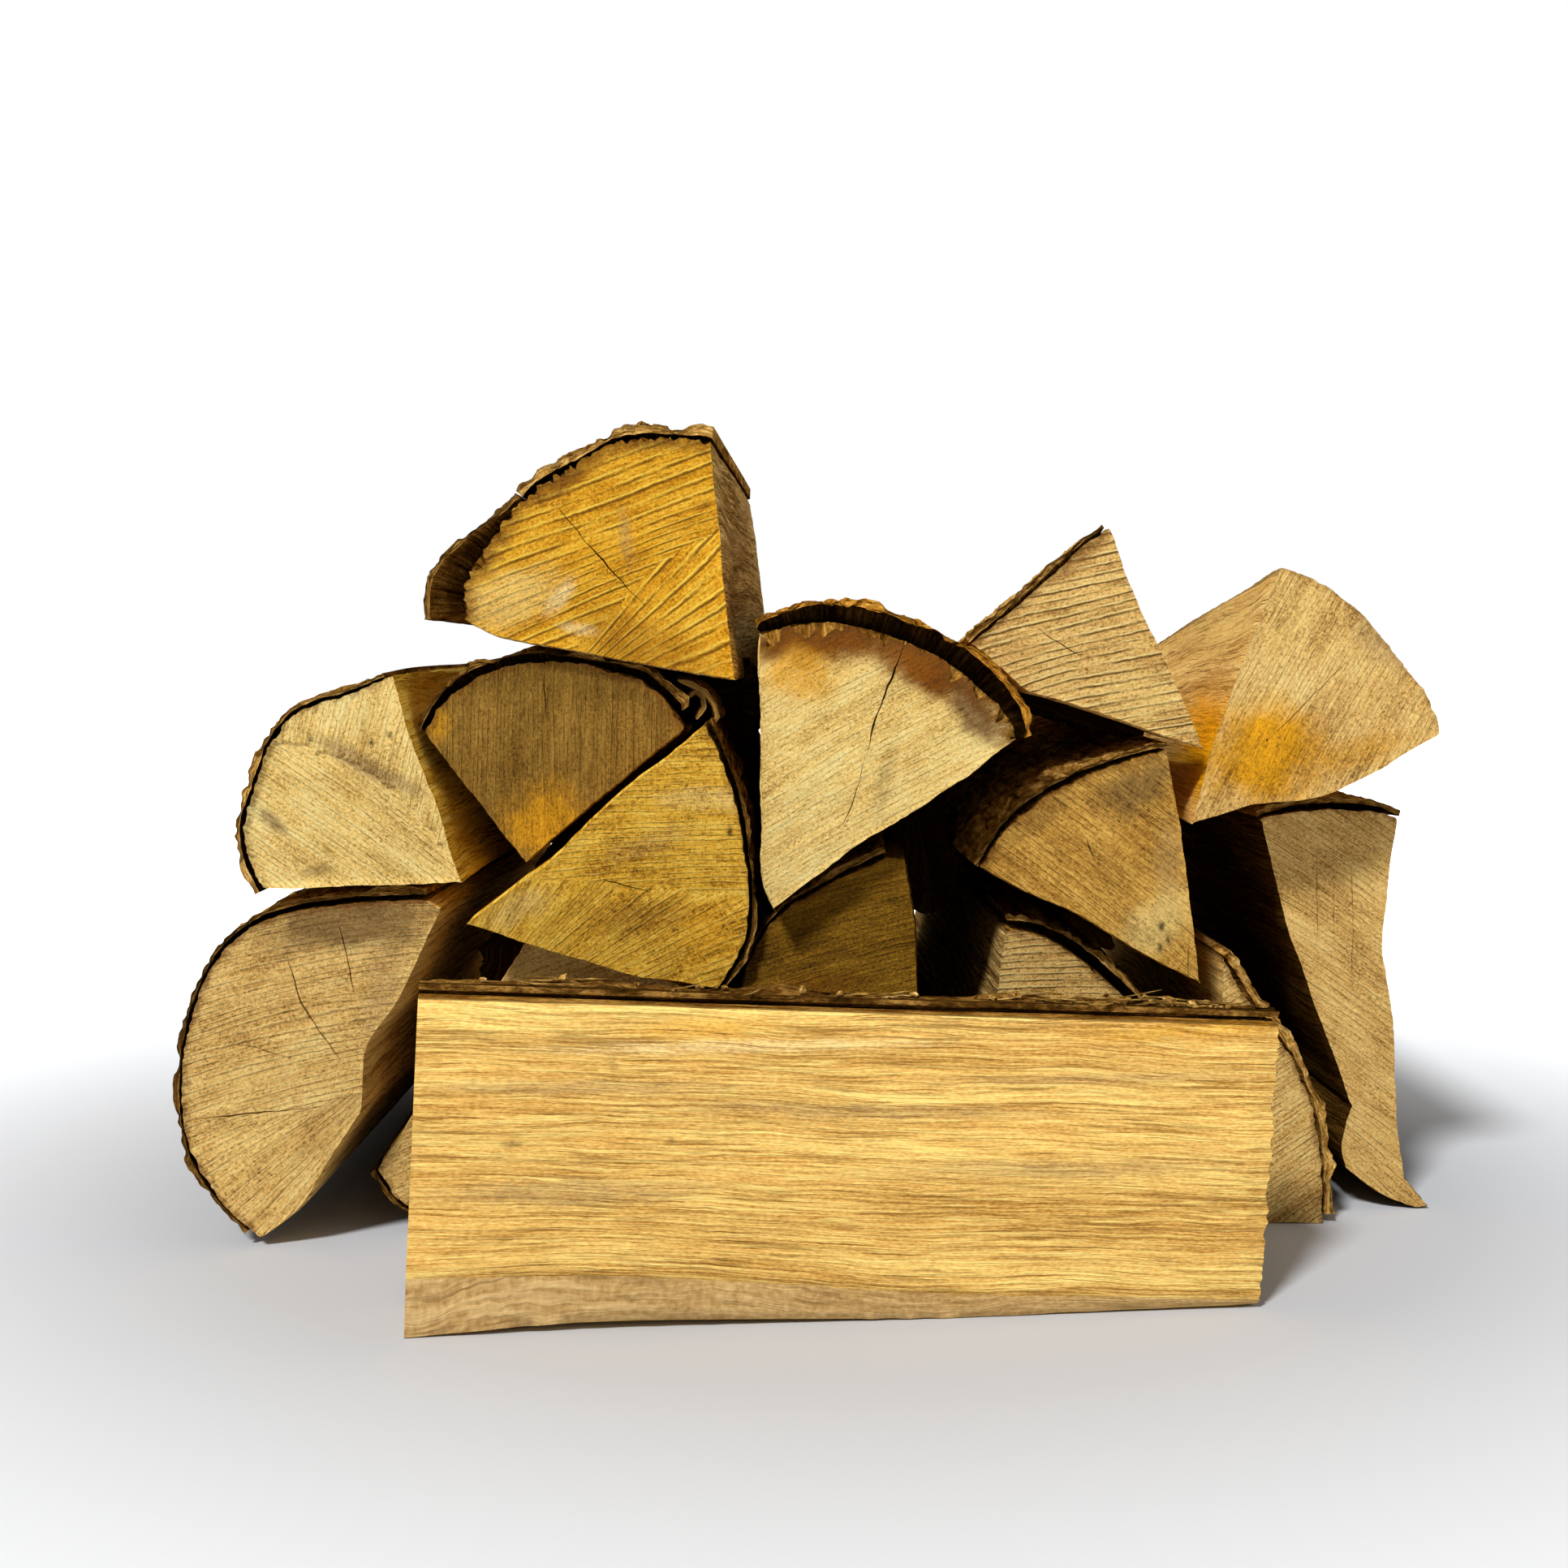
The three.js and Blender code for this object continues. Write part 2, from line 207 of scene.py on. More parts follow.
def read_rings(node, front):
    """A node's points as rings (rings, points, 3), from its front end to its back, each clockwise
    as seen from the front, and the direction in which its front end faces."""
    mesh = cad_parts[node].data
    places = np.empty(len(mesh.vertices) * 3)
    mesh.vertices.foreach_get("co", places)
    places, weld = np.unique(np.round(places.reshape(-1, 3) / MM, 3), axis=0, return_inverse=True)
    mesh.calc_loop_triangles()
    corners = np.empty(len(mesh.loop_triangles) * 3, np.int32)
    mesh.loop_triangles.foreach_get("vertices", corners)
    faces = weld.ravel()[corners].reshape(-1, 3)
    spans = np.cross(places[faces[:, 1]] - places[faces[:, 0]], places[faces[:, 2]] - places[faces[:, 0]])
    facing = spans @ front / np.linalg.norm(spans, axis=1)
    normal = spans[facing > CAP_FACING].sum(axis=0)
    normal /= np.linalg.norm(normal)
    depth = -places @ normal
    order = np.argsort(depth)
    level = np.empty(len(places), int)
    level[order] = np.concatenate([[0], np.cumsum(np.diff(depth[order]) > RING_STEP)])
    links = {i: [] for i in range(len(places))}
    for face in faces:
        if len(set(level[face])) == 1:
            continue
        for a, b in ((0, 1), (1, 2), (2, 0)):
            a, b = face[a], face[b]
            if level[a] == level[b] and b not in links[a]:
                links[a].append(b)
                links[b].append(a)
    across = np.cross(-normal, [0, 0, 1])
    rings = []
    for step in range(level.max() + 1):
        members = list(np.flatnonzero(level == step))
        ring = places[ring_order(members, links)]
        side, up = ring @ across, ring[:, 2]
        area = np.sum(side * np.roll(up, -1) - np.roll(side, -1) * up)
        if area > 0:
            ring = ring[::-1]
        if rings:
            flat = rings[-1] - (rings[-1] @ normal)[:, None] * normal
            moved = ring - (ring @ normal)[:, None] * normal
            misses = [np.sum((np.roll(moved, shift, axis=0) - flat) ** 2) for shift in range(len(ring))]
            ring = np.roll(ring, int(np.argmin(misses)), axis=0)
        rings.append(ring)
    return np.array(rings), normal


def turns(ring):
    """How sharply a ring turns at each point."""
    onward = np.roll(ring, -1, axis=0) - ring
    before = np.roll(onward, 1, axis=0)
    cosine = np.sum(onward * before, axis=1)
    cosine /= np.linalg.norm(onward, axis=1) * np.linalg.norm(before, axis=1)
    return np.arccos(np.clip(cosine, -1, 1))


def start_at_rind(rings):
    """Turns the rings so that they start with the rind, whose points are equally far apart."""
    gaps = np.linalg.norm(np.roll(rings[0], -1, axis=0) - rings[0], axis=1)
    spread = []
    for start in range(len(gaps)):
        run = np.roll(gaps, -start)[:RIND - 1]
        spread.append(run.std() / run.mean())
    return np.roll(rings, -int(np.argmin(spread)), axis=1)


def start_at_outside(rings, billet_middle):
    """Turns a bark strip's rings so that they start with its outside."""
    sharp = turns(rings[0])
    scores = [sharp[i] + sharp[i - 1] + sharp[(i + RIND - 1) % len(sharp)] for i in range(len(sharp))]
    turned = np.roll(rings, -int(np.argmax(scores)), axis=1)
    away = np.linalg.norm(turned[0] - billet_middle, axis=1)
    if away[:RIND].mean() < away[RIND:].mean():
        turned = np.roll(turned, -RIND, axis=1)
    return turned


# Refining the solids into fine surfaces

def through(points, places, targets):
    """The smooth curve through points (n, ...) at places (n,), read at targets."""
    run = np.diff(places).reshape(-1, *[1] * (points.ndim - 1))
    chords = np.diff(points, axis=0) / run
    slopes = np.concatenate([chords[:1], (chords[1:] * run[1:] + chords[:-1] * run[:-1])
                             / (run[1:] + run[:-1]), chords[-1:]])
    first = np.clip(np.searchsorted(places, targets, side="right") - 1, 0, len(places) - 2)
    width = run[first]
    t = ((targets - places[first]) / np.diff(places)[first]).reshape(width.shape)
    return ((1 + 2 * t) * (1 - t) ** 2 * points[first] + t * (1 - t) ** 2 * width * slopes[first]
            + t * t * (3 - 2 * t) * points[first + 1] + t * t * (t - 1) * width * slopes[first + 1])


def stations(length, near, middle, far):
    """Distances along a piece, closer together near its ends."""
    places = [0.0]
    while places[-1] < length:
        place = places[-1]
        step = near + (middle - near) * smooth(place, *NEAR_REACH)
        step = min(step, far + (middle - far) * smooth(length - place, *FAR_REACH))
        places.append(place + step)
    return np.array(places) * length / places[-1]


def refine_outline(rings, corner_at, steps):
    """Refines every ring between its corners. Gives the rings, the length round at each point,
    which side each point belongs to, and how far it is from that side's ends."""
    count = rings.shape[1]
    looped = np.concatenate([rings, rings[:, :1]], axis=1)
    parts, arounds, sides, edges = [], [], [], []
    total = 0.0
    for number, (start, end) in enumerate(zip(corner_at, corner_at[1:] + [count])):
        side = looped[:, start:end + 1].transpose(1, 0, 2)
        gaps = np.linalg.norm(np.diff(side[:, 0], axis=0), axis=1)
        places = np.concatenate([[0], np.cumsum(gaps)])
        pieces = max(1, round(places[-1] / steps[min(number, len(steps) - 1)]))
        targets = np.linspace(0, places[-1], pieces + 1)[:-1]
        parts.append(through(side, places, targets).transpose(1, 0, 2))
        arounds.append(total + targets)
        sides.append(np.full(len(targets), number))
        edges.append(np.minimum(targets, places[-1] - targets))
        total += places[-1]
    return np.concatenate(parts, axis=1), *(np.concatenate(row) for row in (arounds, sides, edges))


def outward(grid):
    """The direction out of the surface at each point of a closed grid (stations, columns, 3)."""
    across = np.roll(grid, -1, axis=1) - np.roll(grid, 1, axis=1)
    onward = np.gradient(grid, axis=0)
    normal = np.cross(across, onward)
    return normal / np.maximum(np.linalg.norm(normal, axis=2, keepdims=True), TINY)


def in_plane(shift, normal):
    """A shift without its part along normal."""
    return shift - (shift @ normal)[..., None] * normal


def is_inside(flat, outline):
    """Whether flat points (n, 2) lie in a closed outline (m, 2)."""
    ahead = np.roll(outline, -1, axis=0)
    rises = (outline[None, :, 1] > flat[:, None, 1]) != (ahead[None, :, 1] > flat[:, None, 1])
    height = np.where(ahead[:, 1] == outline[:, 1], TINY, ahead[:, 1] - outline[:, 1])
    crossing = outline[:, 0] + (flat[:, None, 1] - outline[:, 1]) * (ahead[:, 0] - outline[:, 0]) / height
    return np.sum(rises & (flat[:, None, 0] < crossing), axis=1) % 2 == 1


def line_distance(flat, line):
    """How far points (n, 2 or 3) are from a line through points (m, 2 or 3)."""
    start, run = line[:-1], np.diff(line, axis=0)
    share = np.sum((flat[:, None] - start) * run, axis=2) / np.maximum(np.sum(run * run, axis=1), TINY)
    nearest = start + np.clip(share, 0, 1)[..., None] * run
    return np.linalg.norm(flat[:, None] - nearest, axis=2).min(axis=1)


class Shape:
    """A mesh in the making: points, and faces whose corners carry a grain, a rim, and a stain that holds
    stains and painted shade and light.
    """

    def __init__(self):
        self.points = []
        self.count = 0
        self.faces = []
        self.finish = []
        self.corners = {"grain": [], "rim": [], "stain_and_painted_light": []}

    def add_points(self, places):
        """Adds places and gives their numbers in the whole mesh."""
        first = self.count
        self.points.append(places)
        self.count += len(places)
        return np.arange(first, self.count)

    def add_faces(self, faces, index, finish, grain, rim, stain_and_painted_light=None):
        """faces number local points; index gives each one's number in the whole mesh. grain holds
        a place for each point, or for each corner of each face."""
        self.faces.append(index[faces])
        self.finish.append(np.broadcast_to(finish, len(faces)))
        if stain_and_painted_light is None:
            stain_and_painted_light = np.zeros((len(index), 4))
        if grain.ndim == 2:
            grain = grain[faces]
        self.corners["grain"].append(grain.reshape(-1, 3))
        self.corners["rim"].append(rim[faces].ravel())
        self.corners["stain_and_painted_light"].append(stain_and_painted_light[faces].reshape(-1, 4))

    def make(self, name, materials, node):
        """The finished object, which stands for its node if it has one."""
        mesh = bpy.data.meshes.new(name)
        faces = [face for block in self.faces for face in block.tolist()]
        mesh.from_pydata((np.concatenate(self.points) * MM).tolist(), [], faces)
        mesh.polygons.foreach_set("material_index", np.concatenate(self.finish).astype(np.int32))
        mesh.polygons.foreach_set("use_smooth", np.ones(len(faces), bool))
        kinds = {"grain": "FLOAT_VECTOR", "rim": "FLOAT", "stain_and_painted_light": "FLOAT_COLOR"}
        fields = {"grain": "vector", "rim": "value", "stain_and_painted_light": "color"}
        for key, kind in kinds.items():
            values = np.concatenate(self.corners[key]).astype(np.float32)
            mesh.attributes.new(key, kind, "CORNER").data.foreach_set(fields[key], values.ravel())
        for material in materials:
            mesh.materials.append(material)
        mesh.update()
        mesh.set_sharp_from_angle(angle=SHARP)
        piece = bpy.data.objects.new(name, mesh)
        bpy.context.scene.collection.objects.link(piece)
        if node:
            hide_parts(node)
        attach(piece, "root")
        return piece


def grid_faces(rows, columns, looped=True):
    """Four-sided faces between the points of a grid, facing out where its columns run clockwise."""
    last = columns if looped else columns - 1
    row, column = np.meshgrid(np.arange(rows - 1), np.arange(last), indexing="ij")
    beside = (column + 1) % columns
    faces = [row * columns + column, row * columns + beside,
             (row + 1) * columns + beside, (row + 1) * columns + column]
    return np.stack(faces, axis=-1).reshape(-1, 4)


# The sawn ends

# Cracks: how far they wander and over which length, how much their width varies and over which length,
# their least half width, their depth, how far the face's other points stay clear of them, the step
# along them, how far apart their seeds lie, and the near-black painted on their deep middle as shade, in
# linear values
CRACK_WOBBLE = {"cell": 4.0, "reach": 0.4}
CRACK_SWELL = {"cell": 7.0, "share": 0.5}
CRACK_LEAST = 0.04
CRACK_DEPTH = 5.0
CRACK_CLEAR = 0.7
CRACK_STEP = 1.4
CRACK_SEEDS = 11
CRACK_SHADE_COLOUR = (0.004, 0.002, 0.001, 1.0)
# Scattered points: the gap between their rows, how far they stray, and how far they stay off the edge,
# as shares of the step between them, and how many cells to a millimetre decide where each one strays
SCATTER = {"rows": 0.87, "stray": 0.22, "clear": 0.6, "cells": 7}
# Relief of a sawn face: rows of torn fibre ends, and broad rises and falls. It fades out at the rim.
ROW = {"cell": (14, 2.8, 9), "depth": 0.45}
SWELL = {"cell": (45, 15, 9), "depth": 0.6}
RIM_FADES = (0, 2)
ZONE_FADES = (0, 3)
# How far apart the pieces of one kind lie in the grain, so that no two look alike, and the zones of a face
GRAIN_GAPS = {"side": 31.0, "end": 17.0, "layer": 9.0, "scrap": 5.0, "crumb": 3.0}
ZONES_APART = 40.0
ZONE_WANDER = {"cell": 9.0, "reach": 5.0, "seed": 61}
# Stains, and ovals of painted shade and light: their wandering edges, and the share of their radii over which
# they fade
STAIN_AND_LIGHT_OVALS = {"cell": 38.0, "reach": 0.32, "fades": (0.35, 1.15), "seeds": (71, 87)}
# Points of a face closer than SAME_PLACE are one, and triangles under NO_AREA are left out
SAME_PLACE = 1e-6
NO_AREA = 1e-7


def closed(line):
    """A line that ends where it starts."""
    return np.concatenate([line, line[:1]])


def on_level(flat):
    """Flat points (n, 2) as places (n, 3) at level 0."""
    return np.concatenate([flat, np.zeros((len(flat), 1))], axis=1)


def spread_points(outline, step, seed):
    """Scattered points inside an outline, about a step apart and clear of its edge."""
    lowest, highest = outline.min(axis=0), outline.max(axis=0)
    across = np.arange(lowest[0], highest[0], step)
    upward = np.arange(lowest[1], highest[1], step * SCATTER["rows"])
    side, up = np.meshgrid(across, upward)
    side = side + (np.arange(len(upward)) % 2)[:, None] * step / 2
    flat = np.stack([side.ravel(), up.ravel()], axis=1)
    cells = np.floor(on_level(flat) * SCATTER["cells"]).astype(np.int64)
    shift = [hashed(cells, seed + k) for k in range(2)]
    flat = flat + np.stack(shift, axis=1) * step * SCATTER["stray"]
    flat = flat[is_inside(flat, outline)]
    return flat[line_distance(flat, closed(outline)) > step * SCATTER["clear"]]


def finer_line(line, step):
    """At least four points along a line, about a step apart, and the way to its left at each."""
    runs = np.linalg.norm(np.diff(line, axis=0), axis=1)
    places = np.concatenate([[0], np.cumsum(runs)])
    targets = np.linspace(0, places[-1], max(4, int(places[-1] / step)))
    fine = np.stack([np.interp(targets, places, line[:, k]) for k in range(2)], axis=1)
    run = np.gradient(fine, axis=0)
    return fine, np.stack([-run[:, 1], run[:, 0]], axis=1) / np.linalg.norm(run, axis=1)[:, None]


def crack_points(line, seed, half):
    """A crack along a line: its two banks and the middle between them."""
    fine, aside = finer_line(line, CRACK_STEP)
    solid = on_level(fine)
    fine = fine + aside * (noise(solid, CRACK_WOBBLE["cell"], seed) * CRACK_WOBBLE["reach"])[:, None]
    share = np.linspace(0, 1, len(fine))
    width = half * np.minimum(1, 4 * np.minimum(share, 1 - share))
    width = width * (1 + CRACK_SWELL["share"] * noise(solid, CRACK_SWELL["cell"], seed + 3))
    width = np.maximum(width, CRACK_LEAST)
    return fine + aside * width[:, None], fine, fine - aside * width[:, None]


def cracked_face(outline, cracks, step, seed):
    """Covers an outline with triangles that open along its cracks, given as (half width, line) pairs.
    Gives the flat points, each one's number on the outline or -1, whether it lies deep in a crack, and
    the triangles."""
    inner = spread_points(outline, step, seed)
    blocks = [outline]
    edges = [(i, (i + 1) % len(outline)) for i in range(len(outline))]
    deep = [False] * len(outline)
    for number, (half, crack) in enumerate(cracks):
        banks = crack_points(crack, seed + CRACK_SEEDS * number, half)
        inner = inner[line_distance(inner, banks[1]) > CRACK_CLEAR]
        for bank, line in enumerate(banks):
            line = line[is_inside(line, outline)]
            first = len(deep)
            deep += [bank == 1] * len(line)
            blocks.append(line)
            if bank != 1:
                edges += [(first + i, first + i + 1) for i in range(len(line) - 1)]
    blocks.append(inner)
    deep = np.array(deep + [False] * len(inner))
    flat = np.concatenate(blocks)
    corners = [Vector(place) for place in flat.tolist()]
    made, _, faces, origin, _, _ = delaunay_2d_cdt(corners, edges, [], 1, SAME_PLACE)
    source = np.array([first[0] if first else -1 for first in origin])
    flat = np.array([list(p) for p in made])
    faces = np.array([face for face in faces if len(face) == 3])
    side = flat[faces[:, 1]] - flat[faces[:, 0]]
    other = flat[faces[:, 2]] - flat[faces[:, 0]]
    area = side[:, 0] * other[:, 1] - side[:, 1] * other[:, 0]
    faces[area < 0] = faces[area < 0][:, ::-1]
    is_deep = np.where(source >= 0, deep[source], False)
    return flat, np.where(source < len(outline), source, -1), is_deep, faces[np.abs(area) > NO_AREA]


def flat_end(shape, ring_index, ring, is_rind, facing, look, step, seed):
    """Closes an end of a billet with a sawn face. look gives its saw marks, cracks, zones and stains."""
    across = np.cross(-facing, [0, 0, 1])
    across /= np.linalg.norm(across)
    upward = np.cross(facing, across)
    middle = ring.mean(axis=0)
    outline = np.stack([(ring - middle) @ across, (ring - middle) @ upward], axis=1)

    def flatten(pixels):
        places = from_photo(pixels, middle, facing) - middle
        return np.stack([places @ across, places @ upward], axis=1)

    cracks = [(half, flatten(line)) for half, *line in look.get("cracks_px", [])]
    flat, on_outline, is_deep, faces = cracked_face(outline, cracks, step, seed)
    on_ring = on_outline >= 0
    rim = line_distance(flat, closed(outline))
    rind_rim = line_distance(flat, outline[is_rind])
    places = middle + flat[:, :1] * across + flat[:, 1:] * upward
    pixels = to_photo(places)
    zones = [look, *look.get("zones", [])]
    marks = np.stack([saw_places(flat, zone, flatten, seed + ZONES_APART * number)
                      for number, zone in enumerate(zones)])
    point_zone = zone_at(pixels, zones)
    grain = marks[point_zone, np.arange(len(flat))]
    set_in = np.array([zone.get("set_in", 0.0) for zone in zones])[point_zone]
    sink = relief(grain, ROW, seed) + relief(on_level(flat), SWELL, seed + 5)
    sink = sink * look.get("relief", 1.0)
    sink = sink * smooth(rim, *RIM_FADES) + set_in * smooth(rim, *ZONE_FADES)
    sink = np.where(is_deep, sink + CRACK_DEPTH, sink)
    places = places - sink[:, None] * facing
    index = np.empty(len(flat), int)
    index[on_ring] = ring_index[on_outline[on_ring]]
    index[~on_ring] = shape.add_points(places[~on_ring])
    stain_and_painted_light = stain_and_light_ovals_at(pixels, look.get("stains_and_painted_light_px", []))
    # the deep middle of each crack is painted near-black as the shade inside it
    stain_and_painted_light[is_deep] = CRACK_SHADE_COLOUR
    face_zone = zone_at(pixels[faces].mean(axis=1), zones)
    shape.add_faces(faces, index, END, marks[face_zone[:, None], faces], rind_rim, stain_and_painted_light)


def zone_at(pixels, zones):
    """The number of the zone of saw marks at each pixel. Zone 0 is the rest of the face."""
    solid = on_level(pixels)
    wander = [noise(solid, ZONE_WANDER["cell"], ZONE_WANDER["seed"] + k) for k in range(2)]
    pixels = pixels + np.stack(wander, axis=1) * ZONE_WANDER["reach"]
    found = np.zeros(len(pixels), int)
    for number, zone in enumerate(zones[1:]):
        found[is_inside(pixels, np.array(zone["outline_px"], float))] = number + 1
    return found


def saw_places(flat, zone, flatten, seed):
    """Places along and across a zone's saw marks: straight, bowed, or fanned out from a centre."""
    if "fan_px" in zone:
        away = flat - flatten([zone["fan_px"]])
        along = np.linalg.norm(away, axis=1)
        over = np.arctan2(-away[:, 1], -away[:, 0]) * zone["fan_radius"]
    else:
        turn = math.radians(zone.get("saw_turn", 0))
        along = flat[:, 0] * math.cos(turn) + flat[:, 1] * math.sin(turn)
        over = flat[:, 1] * math.cos(turn) - flat[:, 0] * math.sin(turn)
        over = over + zone.get("bow", 0.5) * along ** 2 / 1000
    return np.stack([along, over, np.full(len(flat), GRAIN_GAPS["end"] * seed)], axis=1)


def stain_and_light_ovals_at(pixels, stains):
    """The colour and strength of the stains, and of the painted shade and light, at each pixel: soft ovals,
    one over the other.
    """
    colour = np.zeros((len(pixels), 4))
    solid = on_level(pixels)
    wander = np.stack([rough(solid, STAIN_AND_LIGHT_OVALS["cell"], seed) for seed in STAIN_AND_LIGHT_OVALS["seeds"]], axis=1)
    for tone, strength, centre, radii, turn in stains:
        cosine, sine = math.cos(math.radians(turn)), math.sin(math.radians(turn))
        away = pixels + wander * STAIN_AND_LIGHT_OVALS["reach"] * min(radii) - np.array(centre, float)
        along = away[:, 0] * cosine - away[:, 1] * sine
        over = away[:, 0] * sine + away[:, 1] * cosine
        reach = np.sqrt((along / radii[0]) ** 2 + (over / radii[1]) ** 2)
        cover = strength * (1 - smooth(reach, *STAIN_AND_LIGHT_OVALS["fades"]))
        total = colour[:, 3] * (1 - cover) + cover
        share = np.where(total > 0, cover / np.maximum(total, TINY), 0)[:, None]
        colour[:, :3] = colour[:, :3] * (1 - share) + np.array(linear(TONES[tone])) * share
        colour[:, 3] = total
    return colour


# Colours, written as they are seen (0 to 255)

def linear(seen):
    """A seen colour as light."""
    share = [value / 255 for value in seen]
    return [s / 12.92 if s <= 0.04045 else ((s + 0.055) / 1.055) ** 2.4 for s in share]


TONES = {
    "amber": (224, 158, 22),
    "rust": (134, 76, 4),
    "umber": (104, 68, 30),
    "grey": (128, 98, 54),
    "ash": (176, 142, 92),
    "cream": (246, 224, 168),
    "straw": (238, 202, 120),
    # painted shade: an olive brown laid where a billet above shades the end
    "olive_shade": (120, 88, 26),
    "black": (20, 11, 4),
}

# Each palette: its darkest, middle and lightest tone
PALETTES = {
    "gold": ((142, 84, 0), (230, 162, 26), (255, 212, 78)),
    "honey": ((132, 82, 4), (238, 180, 52), (255, 220, 104)),
    "hazel": ((122, 80, 20), (208, 154, 64), (255, 206, 104)),
    "straw": ((172, 131, 56), (250, 210, 122), (255, 239, 168)),
    "tan": ((142, 100, 38), (232, 184, 104), (255, 226, 146)),
    "shade": ((92, 60, 8), (140, 102, 34), (180, 138, 60)),
    # painted shade: the olive brown of an end that lies in the shade of the billets above it
    "olive_shade": ((68, 42, 0), (132, 92, 10), (188, 140, 38)),
    "umber": ((82, 56, 24), (170, 132, 70), (250, 212, 140)),
    # painted light: a bright golden split side, standing for the sun that falls on it
    "gold_lit_side": ((140, 88, 8), (246, 192, 62), (255, 230, 130)),
    "shadow": ((20, 11, 2), (62, 41, 12), (112, 80, 32)),
    "bark": ((30, 17, 3), (92, 60, 20), (172, 128, 62)),
    "bark_cut": ((58, 34, 6), (136, 96, 38), (206, 162, 90)),
    "bark_lit": ((96, 60, 12), (184, 138, 64), (246, 206, 126)),
    "bark_orange": ((84, 46, 2), (184, 124, 38), (244, 186, 84)),
    "bark_inside": ((40, 22, 4), (120, 78, 24), (196, 146, 66)),
    # painted shade: near-black bark for insides that face the wood across a gap, and for the plugs in the
    # gaps
    "bark_in_shade": ((12, 6, 1), (42, 25, 5), (88, 58, 22)),
    "front": ((166, 116, 46), (225, 176, 94), (255, 226, 134)),
    "facet": ((172, 132, 76), (208, 170, 110), (238, 204, 142)),
}


# Materials

# The shades that the grain gives to the stains and the painted shade and light, from its dark to its light
# places
STAIN_SHADES = [(0.0, (0.36, 0.3, 0.22)), (0.5, (1.0, 1.0, 1.0)), (1.0, (1.4, 1.38, 1.3))]
# How far a single noise usually strays from a half, and how many times that the palette reaches
USUAL_STRAY = 0.105
PALETTE_REACH = 2.1

# How far apart, through the wood, the lumps of a material's noise are
DEEP = 20


class Nodes:
    """A material's nodes, made and joined with few words."""

    def __init__(self, name):
        self.material = bpy.data.materials.new(name)
        self.material.use_nodes = True
        self.tree = self.material.node_tree
        self.shader = self.tree.nodes["Principled BSDF"]

    def add(self, kind, inputs=(), **settings):
        """A new node. An input is a value, or the output of another node."""
        node = self.tree.nodes.new("ShaderNode" + kind)
        for key, value in settings.items():
            setattr(node, key, value)
        for key, value in dict(inputs).items():
            if isinstance(value, bpy.types.NodeSocket):
                self.tree.links.new(value, node.inputs[key])
            else:
                node.inputs[key].default_value = value
        return node

    def attribute(self, name, field="Vector"):
        """What the faces carry under a name: three numbers, or one if the field is Fac."""
        return self.add("Attribute", attribute_name=name).outputs[field]

    def scaled(self, vector, scale):
        """The vector with each part times its own scale."""
        return self.add("VectorMath", {0: vector, 1: scale}, operation="MULTIPLY").outputs[0]

    def noise(self, vector, cell, detail=2.0, roughness=0.55):
        """Noise whose lumps are about cell apart along, across and through the grain."""
        scaled = self.scaled(vector, [1 / size for size in cell])
        inputs = {"Vector": scaled, "Scale": 1.0, "Detail": detail, "Roughness": roughness}
        return self.add("TexNoise", inputs).outputs["Fac"]

    def math(self, operation, a, b=0.0, c=0.0, clamp=False):
        """One sum with numbers or outputs, kept between 0 and 1 if clamp is set."""
        return self.add("Math", {0: a, 1: b, 2: c}, operation=operation, use_clamp=clamp).outputs[0]

    def ramp(self, value, stops):
        """Colours along a value, from (place, linear colour) stops."""
        node = self.add("ValToRGB", {"Fac": value})
        ends = node.color_ramp.elements
        while len(ends) < len(stops):
            ends.new(0.5)
        for element, (place, colour) in zip(ends, stops):
            element.position = place
            element.color = (*colour, 1.0)
        return node.outputs["Color"]

    def spread(self, value, start, end):
        """A value stretched so that start becomes 0 and end becomes 1."""
        return self.add("MapRange", {"Value": value, "From Min": start, "From Max": end}).outputs["Result"]

    def below(self, value, start, end):
        """1 where a value is under start, 0 where it is over end."""
        return self.math("SUBTRACT", 1.0, self.spread(value, start, end))

    def band(self, value, start, width):
        """1 in the middle of a band of values, 0 outside it."""
        off = self.math("ABSOLUTE", self.math("SUBTRACT", value, start + width / 2))
        return self.below(off, width * 0.25, width / 2)

    def mix(self, share, a, b, kind="MIX"):
        """Two colours mixed: b by its share, and a by the rest. Their sockets are numbers 6 and 7."""
        node = self.add("Mix", data_type="RGBA", blend_type=kind)
        for key, value in ((0, share), (6, a), (7, b)):
            if isinstance(value, bpy.types.NodeSocket):
                self.tree.links.new(value, node.inputs[key])
            elif key:
                node.inputs[key].default_value = (*value, 1.0)
            else:
                node.inputs[key].default_value = value
        return node.outputs[2]

    def lay(self, colour, over, share, strength):
        """A colour with another laid over it, by a share and a strength."""
        return self.mix(self.math("MULTIPLY", share, strength), colour, over)

    def link(self, value, socket):
        """Joins an output to an input of the surface."""
        self.tree.links.new(value, self.shader.inputs[socket])

    def paint(self, colour, roughness, specular=0.0):
        """Gives the surface its colour and how rough and shiny it is."""
        self.link(colour, "Base Color")
        self.shader.inputs["Roughness"].default_value = roughness
        self.shader.inputs["Specular IOR Level"].default_value = specular

    def bump(self, *layers):
        """Relief from (height, distance, strength) layers, each on top of the one before it."""
        under = {}
        for height, distance, strength in layers:
            inputs = {"Height": height, "Distance": distance * MM, "Strength": strength, **under}
            under = {"Normal": self.add("Bump", inputs).outputs["Normal"]}
        self.link(under["Normal"], "Normal")


